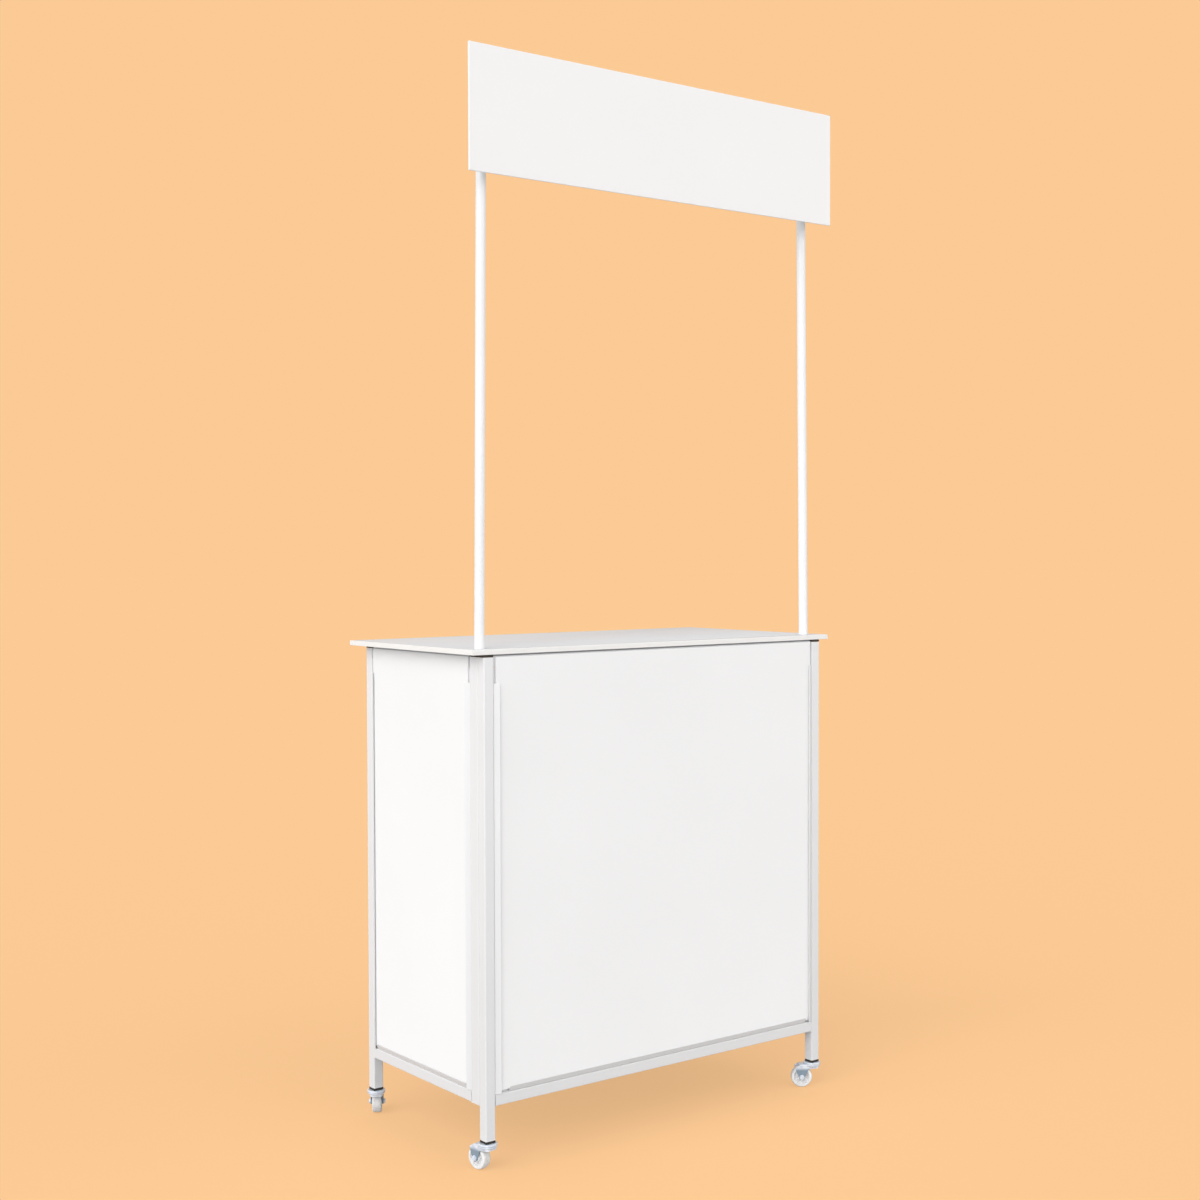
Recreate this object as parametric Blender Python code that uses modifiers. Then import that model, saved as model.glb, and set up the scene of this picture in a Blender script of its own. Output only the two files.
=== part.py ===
# Promotion counter: a white steel frame on casters with three slide-in panels, a table
# top, two shelves at the back, and a header board that lifts out on two poles.
# Metres, +Z up, the origin on the floor under the middle of the overall footprint,
# the customer's side towards -Y.

import bmesh
import bpy
from math import atan2, cos, pi, radians, sin
from mathutils import Matrix, Vector

# Frame
FRAME_WIDTH = 0.800
FRAME_DEPTH = 0.400
COUNTER_HEIGHT = 0.905
TUBE = 0.020
TUBE_WALL = 0.0008
TUBE_CORNER = 0.0018
LEG_DROP = 0.059
TOP_RAIL_DEPTH = 0.0155
TOP_SEAL_SPACE = 0.0025
SOCKET = 0.025
SOCKET_WALL = 0.0010
SEAT_GAP = 0.0003

# Square plugs in the tube ends
PLUG_HEAD = 0.0040
PLUG_DEPTH = 0.022
BUSH_DEPTH = 0.030
PLUG_CORNER = 0.0012

# Table top
TABLE_THICKNESS = 0.009
TABLE_SIDE_OVERHANG = 0.0225
TABLE_FRONT_OVERHANG = 0.0005
TABLE_BACK_OVERHANG = 0.022
TABLE_EDGE_ROUND = 0.0008
POLE_HOLE_CLEARANCE = 0.0006

# Panels and the folded channels that hold them
PANEL_THICKNESS = 0.0040
PANEL_SETBACK = 0.0
PANEL_PLAY = 0.0003
PANEL_EDGE_GAP = 0.0055
CHANNEL_SHEET = 0.0010
CHANNEL_LEG = 0.0120
LIP_WIDTH = 0.0105
LIP_ROOT_SETBACK = 0.0010
LIP_EDGE_PROUD = 0.0038
CHANNEL_TOP_DROP = 0.045
FRONT_CHANNEL_LEFT_INSET = 0.030
FRONT_CHANNEL_RIGHT_INSET = 0.019
SIDE_CHANNEL_INSET = 0.014

# Shelves
SHELF_HEIGHT = 0.500
SHELF_SHEET = 0.0012
SHELF_FLANGE = 0.020
SHELF_BACK_SETBACK = 0.002
BOTTOM_BOARD_THICKNESS = 0.005

# Poles, header board and clips
POLE_RADIUS = 0.0089
POLE_CLEARANCE = 0.0003
POLE_INSERT = 0.250
POLE_LEAN = 0.0095
POLE_TOP_DROP = 0.022
POLE_SIDES = 24
STOP_PIN_RADIUS = 0.0025
HEADER_WIDTH = 0.852
HEADER_HEIGHT = 0.216
HEADER_THICKNESS = 0.004
HEADER_BOTTOM = 1.716
HEADER_PROUD = 0.0025
CLIP_LENGTH = 0.130
CLIP_WALL = 0.0022
CLIP_BASE_WIDTH = 0.030
CLIP_BASE_THICKNESS = 0.0028
CLIP_WEB = 0.005
CLIP_MOUTH = radians(96)

# Casters
WHEEL_RADIUS = 0.021
WHEEL_WIDTH = 0.017
WHEEL_SEGMENTS = 32
HUB_RADIUS = 0.0080
HUB_WIDTH = 0.0185
WEB_THICKNESS = 0.0070
RIM_THICKNESS = 0.0050
TREAD_CROWN = 0.0010
CASTER_TRAIL = 0.021
AXLE_RADIUS = 0.0030
AXLE_CLEARANCE = 0.0003
HUB_SIDE_CLEARANCE = 0.0005
FORK_SHEET = 0.0020
FORK_LOBE_RADIUS = 0.0058
FORK_HEEL = 0.0115
FORK_HEEL_DROP = 0.0065
FORK_TOE = 0.0330
FORK_SHOULDER = 0.0130
FORK_SHOULDER_DROP = 0.0085
CROWN_CLEARANCE = 0.0012
CROWN_HEIGHT = 0.0035
RACE_GAP = 0.0004
CAP_HEIGHT = 0.0034
CAP_RADIUS = 0.0170
CAP_EDGE_ROUND = 0.0012
KINGPIN_RADIUS = 0.0040
KINGPIN_HEAD_RADIUS = 0.0065
KINGPIN_HEAD_HEIGHT = 0.0018
STEM_RADIUS = 0.0040
BOLT_HEAD_RADIUS = 0.0055
BOLT_HEAD_HEIGHT = 0.0035
SWIVEL_ANGLES = {
    "front_left": radians(99),
    "front_right": radians(143),
    "rear_left": radians(55),
    "rear_right": radians(122),
}

# Places worked out from the sizes above
HALF_WIDTH = FRAME_WIDTH / 2
HALF_DEPTH = FRAME_DEPTH / 2
CROWN_BOTTOM = 2 * WHEEL_RADIUS + CROWN_CLEARANCE
CROWN_TOP = CROWN_BOTTOM + CROWN_HEIGHT
CAP_BOTTOM = CROWN_TOP + RACE_GAP
CAP_TOP = CAP_BOTTOM + CAP_HEIGHT
FOOT_HEIGHT = CAP_TOP + SEAT_GAP + PLUG_HEAD + SEAT_GAP
RAIL_BOTTOM = FOOT_HEIGHT + LEG_DROP
RAIL_TOP = RAIL_BOTTOM + TUBE
TABLE_UNDERSIDE = COUNTER_HEIGHT - TABLE_THICKNESS
TUBE_TOP = TABLE_UNDERSIDE - SEAT_GAP - PLUG_HEAD - SEAT_GAP
POST_X = HALF_WIDTH - TUBE / 2
FRONT_POST_Y = -HALF_DEPTH + TUBE / 2
REAR_POST_Y = HALF_DEPTH - TUBE / 2
SOCKET_X = HALF_WIDTH - SOCKET / 2
SOCKET_Y = -HALF_DEPTH + TUBE + SEAT_GAP + SOCKET / 2
INNER_X = HALF_WIDTH - TUBE
SOCKET_INNER_X = HALF_WIDTH - SOCKET
SOCKET_BACK = SOCKET_Y + SOCKET / 2
REAR_POST_FRONT = HALF_DEPTH - TUBE
PANEL_BACK = PANEL_SETBACK + PANEL_THICKNESS
CHANNEL_BACK = PANEL_BACK + PANEL_PLAY + CHANNEL_SHEET
CHANNEL_TOP = TUBE_TOP - CHANNEL_TOP_DROP
POLE_BOTTOM = TUBE_TOP - POLE_INSERT
HEADER_TOP = HEADER_BOTTOM + HEADER_HEIGHT
POLE_TOP = HEADER_TOP - POLE_TOP_DROP
HEADER_FRONT = -HALF_DEPTH - HEADER_PROUD
TABLE_BACK = HALF_DEPTH + TABLE_BACK_OVERHANG
FORK_INNER = HUB_WIDTH / 2 + HUB_SIDE_CLEARANCE
FORK_OUTER = FORK_INNER + FORK_SHEET


def wheel_profile():
    """One half of the wheel's section, as (radius, distance from its middle)."""
    half_tread = WHEEL_WIDTH / 2
    half_web = WEB_THICKNESS / 2
    half_hub = HUB_WIDTH / 2
    shoulder = WHEEL_RADIUS - TREAD_CROWN
    rim = shoulder - RIM_THICKNESS
    return [
        (AXLE_RADIUS + AXLE_CLEARANCE, half_hub),
        (HUB_RADIUS, half_hub),
        (HUB_RADIUS + 0.0004, half_web),
        (rim - 0.0004, half_web),
        (rim, half_tread),
        (shoulder - 0.0006, half_tread),
        (WHEEL_RADIUS - TREAD_CROWN / 2, half_tread - 0.0014),
        (WHEEL_RADIUS, half_tread * 0.5),
    ]


def rearward_reach(angle):
    """How far a wheel reaches towards +Y from its post's middle."""
    disc = max(radius * abs(sin(angle)) + half * abs(cos(angle)) for radius, half in wheel_profile())
    return CASTER_TRAIL * sin(angle) + disc


# The origin stands under the middle of the footprint, from the front casters' caps to
# the rear wheel that reaches out furthest.
FRONT_REACH = FRONT_POST_Y - CAP_RADIUS
REAR_REACH = REAR_POST_Y + max(
    rearward_reach(SWIVEL_ANGLES["rear_left"]),
    rearward_reach(SWIVEL_ANGLES["rear_right"]),
)
FOOTPRINT_SHIFT = -(FRONT_REACH + REAR_REACH) / 2

# The scene is emptied, and two collections take the parts and the cutters.
for leftover in list(bpy.data.objects):
    bpy.data.objects.remove(leftover, do_unlink=True)

parts = bpy.data.collections.new("promotion_counter")
cutters = bpy.data.collections.new("cutters")
bpy.context.scene.collection.children.link(parts)
bpy.context.scene.collection.children.link(cutters)


def material(name, colour, roughness, metallic=0.0):
    """A Principled material with one colour."""
    made = bpy.data.materials.new(name)
    made.use_nodes = True
    shader = made.node_tree.nodes["Principled BSDF"]
    shader.inputs["Base Color"].default_value = (*colour, 1.0)
    shader.inputs["Roughness"].default_value = roughness
    shader.inputs["Metallic"].default_value = metallic
    return made


PAINT = material("white_painted_steel", (0.86, 0.86, 0.87), 0.38)
BOARD = material("white_foam_board", (0.93, 0.93, 0.93), 0.45)
TOP = material("white_laminate", (0.90, 0.90, 0.91), 0.35)
BLACK = material("black_plastic", (0.02, 0.02, 0.02), 0.5)
CLIP = material("white_plastic", (0.88, 0.88, 0.88), 0.4)
ZINC = material("zinc_plate", (0.70, 0.72, 0.76), 0.28, 1.0)
NYLON = material("white_nylon", (0.88, 0.88, 0.86), 0.42)


def add_empty(name, location, parent=None, angle=0.0):
    """An empty that carries pieces, turned about the vertical."""
    empty = bpy.data.objects.new(name, None)
    empty.empty_display_size = 0.03
    empty.location = location
    empty.rotation_euler = (0.0, 0.0, angle)
    empty.parent = parent
    parts.objects.link(empty)
    return empty


def finish(piece, finish_material, parent):
    """Give a piece its material, its carrier and its collection."""
    piece.data.materials.clear()
    piece.data.materials.append(finish_material)
    piece.parent = parent
    parts.objects.link(piece)
    return piece


def as_cutter(piece):
    """Put a piece among the cutters, as a wire that never renders."""
    piece.display_type = "WIRE"
    piece.hide_render = True
    cutters.objects.link(piece)
    return piece


def boolean(piece, other, operation):
    """Cut or join one piece by another, exactly."""
    modifier = piece.modifiers.new(operation.lower(), "BOOLEAN")
    modifier.operation = operation
    modifier.solver = "EXACT"
    modifier.object = other


def arc(centre, radius, start, stop, steps):
    """Points along an arc, both ends included."""
    turn = (stop - start) / steps
    angles = [start + turn * step for step in range(steps + 1)]
    return [(centre[0] + radius * cos(a), centre[1] + radius * sin(a)) for a in angles]


def rounded_rectangle(width, height, radius, steps=2):
    """A rectangle round the origin with rounded corners, anticlockwise."""
    across = width / 2 - radius
    up = height / 2 - radius
    points = []
    for quarter, (side_x, side_y) in enumerate(((1, 1), (-1, 1), (-1, -1), (1, -1))):
        centre = (side_x * across, side_y * up)
        points += arc(centre, radius, quarter * pi / 2, (quarter + 1) * pi / 2, steps)
    return points


def extruded(name, outlines, length):
    """A flat outline, with any holes, pulled both ways along local Z."""
    curve = bpy.data.curves.new(name, "CURVE")
    curve.dimensions = "2D"
    curve.fill_mode = "BOTH"
    curve.extrude = length / 2
    for outline in outlines:
        spline = curve.splines.new("POLY")
        spline.points.add(len(outline) - 1)
        for point, (x, y) in zip(spline.points, outline):
            point.co = (x, y, 0.0, 1.0)
        spline.use_cyclic_u = True
    return welded_mesh(name, bpy.data.objects.new(name, curve))


def welded_mesh(name, guide):
    """Turn a curve object into one closed mesh, and drop the curve."""
    cutters.objects.link(guide)
    graph = bpy.context.evaluated_depsgraph_get()
    mesh = bpy.data.meshes.new_from_object(guide.evaluated_get(graph))
    mesh.name = name
    bpy.data.objects.remove(guide, do_unlink=True)
    shape = bmesh.new()
    shape.from_mesh(mesh)
    bmesh.ops.remove_doubles(shape, verts=shape.verts, dist=0.00001)
    bmesh.ops.recalc_face_normals(shape, faces=shape.faces)
    shape.to_mesh(mesh)
    shape.free()
    return bpy.data.objects.new(name, mesh)


def block(name, low, high, round_edge=0.0):
    """A box between two corners, with its edges rounded where asked."""
    size = [b - a for a, b in zip(low, high)]
    centre = [(a + b) / 2 for a, b in zip(low, high)]
    shape = bmesh.new()
    bmesh.ops.create_cube(shape, size=1.0, matrix=Matrix.Diagonal((*size, 1.0)))
    mesh = bpy.data.meshes.new(name)
    shape.to_mesh(mesh)
    shape.free()
    piece = bpy.data.objects.new(name, mesh)
    piece.location = centre
    if round_edge > 0.0:
        bevel = piece.modifiers.new("rounded_edges", "BEVEL")
        bevel.width = round_edge
        bevel.segments = 2
    return piece


def turned(name, profile, steps):
    """Turn a profile of (radius, height) points about local Z."""
    mesh = bpy.data.meshes.new(name)
    closed = profile[0][0] > 0.0
    count = len(profile)
    edges = [(i, i + 1) for i in range(count - 1)]
    if closed:
        edges.append((count - 1, 0))
    mesh.from_pydata([(radius, 0.0, height) for radius, height in profile], edges, [])
    piece = bpy.data.objects.new(name, mesh)
    screw = piece.modifiers.new("turn", "SCREW")
    screw.steps = steps
    screw.render_steps = steps
    screw.use_merge_vertices = True
    screw.merge_threshold = 0.00001
    return piece


def smooth(piece, angle=radians(35)):
    """Shade a round piece smooth, and keep its real edges sharp."""
    piece.data.shade_smooth()
    piece.data.set_sharp_from_angle(angle=angle)
    return piece


def aim(piece, place, across, inward):
    """Stand a piece so that its local X runs across and its local Y runs inward."""
    u = Vector(across)
    d = Vector(inward)
    turn = Matrix((u, d, u.cross(d))).transposed()
    piece.matrix_local = Matrix.Translation(place) @ turn.to_4x4()
    return piece


def tube(name, width, height, length, wall=TUBE_WALL):
    """A length of welded rectangular tube along local Z."""
    outer = rounded_rectangle(width, height, TUBE_CORNER)
    inner_corner = TUBE_CORNER - wall / 2
    bore = rounded_rectangle(width - 2 * wall, height - 2 * wall, inner_corner)
    return extruded(name, [outer, bore], length)


# Everything hangs from one empty, which centres the footprint on the origin.
counter = add_empty("counter", (0.0, FOOTPRINT_SHIFT, 0.0))

SIDES = {"left": -1, "right": 1}
ENDS = {"front": FRONT_POST_Y, "rear": REAR_POST_Y}


# Four posts run from under the table top down to the caster plugs.
def build_posts():
    length = TUBE_TOP - FOOT_HEIGHT
    for end, y in ENDS.items():
        for side, sign in SIDES.items():
            post = tube(f"{end}_{side}_post", TUBE, TUBE, length)
            post.location = (sign * POST_X, y, FOOT_HEIGHT + length / 2)
            finish(post, PAINT, counter)


# A wider tube is welded behind each front post: the pole drops into it, down to a pin.
def build_sockets():
    length = TUBE_TOP - RAIL_BOTTOM
    middle = RAIL_BOTTOM + length / 2
    pin_height = POLE_BOTTOM - SEAT_GAP - STOP_PIN_RADIUS
    for side, sign in SIDES.items():
        socket = tube(f"{side}_pole_socket", SOCKET, SOCKET, length, SOCKET_WALL)
        socket.location = (sign * SOCKET_X, SOCKET_Y, middle)
        finish(socket, PAINT, counter)
        pin_profile = [
            (0.0, SOCKET / 2),
            (STOP_PIN_RADIUS, SOCKET / 2),
            (STOP_PIN_RADIUS, -SOCKET / 2),
            (0.0, -SOCKET / 2),
        ]
        pin = as_cutter(turned(f"{side}_stop_pin_form", pin_profile, 12))
        pin.parent = socket
        pin.location = (0.0, 0.0, pin_height - middle)
        pin.rotation_euler = (0.0, pi / 2, 0.0)
        pin.scale = (1.0, 1.0, (SOCKET - SOCKET_WALL) / SOCKET)
        boolean(socket, pin, "UNION")


# The rails close the frame at the bottom and, set back behind the panels, at the top.
def rail_along_x(name, height, depth, y, z):
    rail = tube(name, height, depth, 2 * (INNER_X - SEAT_GAP))
    aim(rail, (0.0, y, z), (0.0, 0.0, -1.0), (0.0, 1.0, 0.0))
    return finish(rail, PAINT, counter)


def rail_along_y(name, height, depth, x, z):
    front = SOCKET_BACK + SEAT_GAP
    back = REAR_POST_FRONT - SEAT_GAP
    rail = tube(name, height, depth, back - front)
    aim(rail, (x, (front + back) / 2, z), (0.0, 0.0, 1.0), (1.0, 0.0, 0.0))
    return finish(rail, PAINT, counter)


def build_rails():
    low = RAIL_BOTTOM + TUBE / 2
    high = TABLE_UNDERSIDE - TOP_SEAL_SPACE - TUBE / 2
    inset = TUBE - TOP_RAIL_DEPTH / 2
    rail_along_x("bottom_front_rail", TUBE, TUBE, FRONT_POST_Y, low)
    rail_along_x("bottom_rear_rail", TUBE, TUBE, REAR_POST_Y, low)
    rail_along_x("top_front_rail", TUBE, TOP_RAIL_DEPTH, -HALF_DEPTH + inset, high)
    rail_along_x("top_rear_rail", TUBE, TUBE, REAR_POST_Y, high)
    for side, sign in SIDES.items():
        rail_along_y(f"bottom_{side}_rail", TUBE, TUBE, sign * POST_X, low)
        rail_along_y(f"top_{side}_rail", TUBE, TOP_RAIL_DEPTH, sign * (HALF_WIDTH - inset), high)


# A plug is a square head on a hollow ribbed body, pushed into a tube's end. The bushes
# on the sockets are made the same way, and the poles slide in their bores.
def build_plug(name, place, outwards, tube_size, wall, depth, bore_radius):
    x, y, tube_end = place
    body_size = tube_size - 2 * wall - 2 * SEAT_GAP
    rib_depth = 0.0007
    head = rounded_rectangle(tube_size, tube_size, PLUG_CORNER)
    bore = arc((0.0, 0.0), bore_radius, 0.0, 2 * pi * 11 / 12, 11)
    plug = extruded(name, [head, bore], PLUG_HEAD)
    plug.location = (x, y, tube_end + outwards * (SEAT_GAP + PLUG_HEAD / 2))
    core = rounded_rectangle(body_size - 2 * rib_depth, body_size - 2 * rib_depth, PLUG_CORNER)
    reach = depth + SEAT_GAP + PLUG_HEAD / 2
    body = as_cutter(extruded(f"{name}_body_form", [core, bore], reach))
    body.parent = plug
    body.location = (0.0, 0.0, -outwards * reach / 2)
    boolean(plug, body, "UNION")
    rib = rounded_rectangle(body_size, body_size, PLUG_CORNER)
    ring = as_cutter(extruded(f"{name}_rib_form", [rib, bore], depth / 3))
    ring.parent = plug
    ring.location = (0.0, 0.0, -outwards * reach * 0.6)
    boolean(plug, ring, "UNION")
    return finish(plug, BLACK, counter)


def build_plugs():
    stem_bore = STEM_RADIUS + SEAT_GAP
    for end, y in ENDS.items():
        for side, sign in SIDES.items():
            corner = f"{end}_{side}"
            top = (sign * POST_X, y, TUBE_TOP)
            foot = (sign * POST_X, y, FOOT_HEIGHT)
            build_plug(f"{corner}_top_plug", top, 1, TUBE, TUBE_WALL, PLUG_DEPTH, stem_bore)
            build_plug(f"{corner}_caster_plug", foot, -1, TUBE, TUBE_WALL, PLUG_DEPTH, stem_bore)
    pole_bore = (POLE_RADIUS + POLE_CLEARANCE) / cos(pi / 12)
    for side, sign in SIDES.items():
        top = (sign * SOCKET_X, SOCKET_Y, TUBE_TOP)
        build_plug(f"{side}_pole_bush", top, 1, SOCKET, SOCKET_WALL, BUSH_DEPTH, pole_bore)


# The table top is one board on the four top plugs, drilled for the poles.
def build_table_top():
    side = HALF_WIDTH + TABLE_SIDE_OVERHANG
    low = (-side, -HALF_DEPTH - TABLE_FRONT_OVERHANG, TABLE_UNDERSIDE)
    high = (side, TABLE_BACK, COUNTER_HEIGHT)
    top = block("table_top", low, high, TABLE_EDGE_ROUND)
    radius = POLE_RADIUS + POLE_HOLE_CLEARANCE
    for name, sign in SIDES.items():
        drill_profile = [
            (0.0, TABLE_THICKNESS),
            (radius, TABLE_THICKNESS),
            (radius, -TABLE_THICKNESS),
            (0.0, -TABLE_THICKNESS),
        ]
        drill = as_cutter(turned(f"{name}_pole_hole_form", drill_profile, 32))
        drill.parent = counter
        drill.location = (sign * SOCKET_X, SOCKET_Y, COUNTER_HEIGHT - TABLE_THICKNESS / 2)
        boolean(top, drill, "DIFFERENCE")
    finish(top, TOP, counter)


# A channel is folded from thin sheet: a back leg, a web on the tube and a lip flared
# outwards past the frame, so that the panel can be let in behind it.
def channel_outline():
    sheet = CHANNEL_SHEET
    slope = (LIP_ROOT_SETBACK + LIP_EDGE_PROUD) / LIP_WIDTH
    inner_root = LIP_ROOT_SETBACK + sheet * 1.1 - slope * sheet
    return [
        (0.0, LIP_ROOT_SETBACK),
        (LIP_WIDTH, -LIP_EDGE_PROUD),
        (LIP_WIDTH, sheet * 1.1 - LIP_EDGE_PROUD),
        (sheet, inner_root),
        (sheet, CHANNEL_BACK - sheet),
        (CHANNEL_LEG, CHANNEL_BACK - sheet),
        (CHANNEL_LEG, CHANNEL_BACK),
        (0.0, CHANNEL_BACK),
    ]


def build_channel(name, place, across, inward, length):
    channel = extruded(name, [channel_outline()], length)
    aim(channel, place, across, inward)
    finish(channel, PAINT, counter)


def build_channels():
    foot = RAIL_TOP + SEAT_GAP
    upright = CHANNEL_TOP - foot - SEAT_GAP
    middle = foot + SEAT_GAP + upright / 2
    front = -HALF_DEPTH
    left_end = -INNER_X + FRONT_CHANNEL_LEFT_INSET
    right_end = INNER_X - FRONT_CHANNEL_RIGHT_INSET
    seat = ((left_end + right_end) / 2, front, foot)
    build_channel("front_bottom_channel", seat, (0, 0, 1), (0, 1, 0), right_end - left_end)
    near = SOCKET_BACK + SEAT_GAP
    far = REAR_POST_FRONT - SEAT_GAP
    run = far - near - 2 * SIDE_CHANNEL_INSET
    for side, sign in SIDES.items():
        post_face = sign * (INNER_X - SEAT_GAP)
        outer = sign * HALF_WIDTH
        inward = (-sign, 0, 0)
        corner = (post_face, front, middle)
        build_channel(f"front_{side}_channel", corner, inward, (0, 1, 0), upright)
        build_channel(f"{side}_front_channel", (outer, near, middle), (0, 1, 0), inward, upright)
        build_channel(f"{side}_rear_channel", (outer, far, middle), (0, -1, 0), inward, upright)
        build_channel(f"{side}_bottom_channel", (outer, (near + far) / 2, foot), (0, 0, 1), inward, run)


# The three panels stand in the channels, where their edges wedge between lip and leg,
# and lean on the top rails behind them.
def build_panels():
    edge = PANEL_EDGE_GAP
    bottom = RAIL_TOP + edge
    across = INNER_X - edge
    low = (-across, -HALF_DEPTH + PANEL_SETBACK, bottom)
    high = (across, -HALF_DEPTH + PANEL_BACK, TUBE_TOP)
    finish(block("front_panel", low, high), BOARD, counter)
    for side, sign in SIDES.items():
        faces = sorted((sign * (HALF_WIDTH - PANEL_SETBACK), sign * (HALF_WIDTH - PANEL_BACK)))
        low = (faces[0], SOCKET_BACK + edge, bottom)
        high = (faces[1], REAR_POST_FRONT - edge, TUBE_TOP)
        finish(block(f"{side}_panel", low, high), BOARD, counter)


# The lower board lies on the bottom rails, notched round the posts and the sockets.
def build_bottom_board():
    inset = CHANNEL_BACK + SEAT_GAP
    side = HALF_WIDTH - inset
    front = -HALF_DEPTH + inset
    back = HALF_DEPTH - SHELF_BACK_SETBACK
    right = [
        (INNER_X - SEAT_GAP, front),
        (INNER_X - SEAT_GAP, -HALF_DEPTH + TUBE),
        (SOCKET_INNER_X - SEAT_GAP, -HALF_DEPTH + TUBE),
        (SOCKET_INNER_X - SEAT_GAP, SOCKET_BACK + SEAT_GAP),
        (side, SOCKET_BACK + SEAT_GAP),
        (side, REAR_POST_FRONT - SEAT_GAP),
        (INNER_X - SEAT_GAP, REAR_POST_FRONT - SEAT_GAP),
        (INNER_X - SEAT_GAP, back),
    ]
    left = [(-x, y) for x, y in reversed(right)]
    board = extruded("bottom_board", [right + left], BOTTOM_BOARD_THICKNESS)
    board.location = (0.0, 0.0, RAIL_TOP + SEAT_GAP + BOTTOM_BOARD_THICKNESS / 2)
    finish(board, BOARD, counter)


# The middle shelf is a tray of folded steel, notched round the sockets and screwed to
# them and to the rear posts.
def build_middle_shelf():
    half = INNER_X - SEAT_GAP
    front = -HALF_DEPTH + TUBE
    back = HALF_DEPTH - SHELF_BACK_SETBACK
    low = (-half, front, SHELF_HEIGHT - SHELF_FLANGE)
    high = (half, back, SHELF_HEIGHT)
    shelf = block("middle_shelf", low, high)
    shape = bmesh.new()
    shape.from_mesh(shelf.data)
    under = [face for face in shape.faces if face.normal.z < -0.5]
    bmesh.ops.delete(shape, geom=under, context="FACES_ONLY")
    shape.to_mesh(shelf.data)
    shape.free()
    wall = shelf.modifiers.new("sheet", "SOLIDIFY")
    wall.thickness = SHELF_SHEET
    wall.offset = -1.0
    wall.use_even_offset = True
    for side, sign in SIDES.items():
        xs = sorted((sign * (SOCKET_INNER_X - SEAT_GAP), sign * HALF_WIDTH))
        low = (xs[0], front - TUBE, SHELF_HEIGHT - 2 * SHELF_FLANGE)
        high = (xs[1], SOCKET_BACK + SEAT_GAP, SHELF_HEIGHT + SHELF_FLANGE)
        notch = as_cutter(block(f"{side}_shelf_notch_form", low, high))
        notch.parent = counter
        boolean(shelf, notch, "DIFFERENCE")
    finish(shelf, PAINT, counter)


# The header's clips sit a little closer together than the sockets, so each pole is
# upright in its socket and leans inwards above the table top.
def pole_x(height):
    rise = max(0.0, height - COUNTER_HEIGHT)
    return SOCKET_X - POLE_LEAN * rise / (HEADER_TOP - COUNTER_HEIGHT)


def build_poles(carrier):
    for side, sign in SIDES.items():
        name = f"{side}_pole"
        curve = bpy.data.curves.new(name, "CURVE")
        curve.dimensions = "3D"
        curve.bevel_depth = POLE_RADIUS
        curve.bevel_resolution = POLE_SIDES // 2 - 2
        curve.use_fill_caps = True
        spline = curve.splines.new("POLY")
        heights = (POLE_BOTTOM, COUNTER_HEIGHT, POLE_TOP)
        spline.points.add(len(heights) - 1)
        for point, height in zip(spline.points, heights):
            point.co = (sign * (pole_x(height) - SOCKET_X), 0.0, height - POLE_BOTTOM, 1.0)
        pole = smooth(welded_mesh(name, bpy.data.objects.new(name, curve)))
        pole.location = (sign * SOCKET_X, SOCKET_Y, POLE_BOTTOM)
        finish(pole, PAINT, carrier)


def build_header_board(carrier):
    low = (-HEADER_WIDTH / 2, HEADER_FRONT, HEADER_BOTTOM)
    high = (HEADER_WIDTH / 2, HEADER_FRONT + HEADER_THICKNESS, HEADER_TOP)
    finish(block("header_board", low, high), BOARD, carrier)


# Each clip is cut from one extrusion: a base glued to the board, a web, and an open ring
# that snaps round the pole from the front. It follows the pole's lean.
def clip_outline(reach):
    bore = POLE_RADIUS + SEAT_GAP
    outer = bore + CLIP_WALL
    ring = (0.0, reach)
    half_mouth = CLIP_MOUTH / 2
    right_tip = pi / 2 - half_mouth
    left_tip = -3 * pi / 2 + half_mouth
    meet = CLIP_WEB / 2 / outer
    half_base = CLIP_BASE_WIDTH / 2
    half_web = CLIP_WEB / 2
    points = [(-half_web, CLIP_BASE_THICKNESS), (-half_base, CLIP_BASE_THICKNESS)]
    points += [(-half_base, 0.0), (half_base, 0.0)]
    points += [(half_base, CLIP_BASE_THICKNESS), (half_web, CLIP_BASE_THICKNESS)]
    points += arc(ring, outer, -pi / 2 + meet, right_tip, 10)
    points += arc(ring, bore, right_tip, left_tip, 22)
    points += arc(ring, outer, left_tip, -pi / 2 - meet, 10)
    return points


def build_clips(carrier):
    base = HEADER_FRONT + HEADER_THICKNESS + SEAT_GAP
    outline = clip_outline(SOCKET_Y - base)
    middle = (HEADER_BOTTOM + HEADER_TOP) / 2
    lean = atan2(POLE_LEAN, HEADER_TOP - COUNTER_HEIGHT)
    for side, sign in SIDES.items():
        clip = extruded(f"{side}_header_clip", [outline], CLIP_LENGTH)
        clip.location = (sign * pole_x(middle), base, middle)
        clip.rotation_euler = (0.0, -sign * lean, 0.0)
        finish(smooth(clip), CLIP, carrier)


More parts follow.
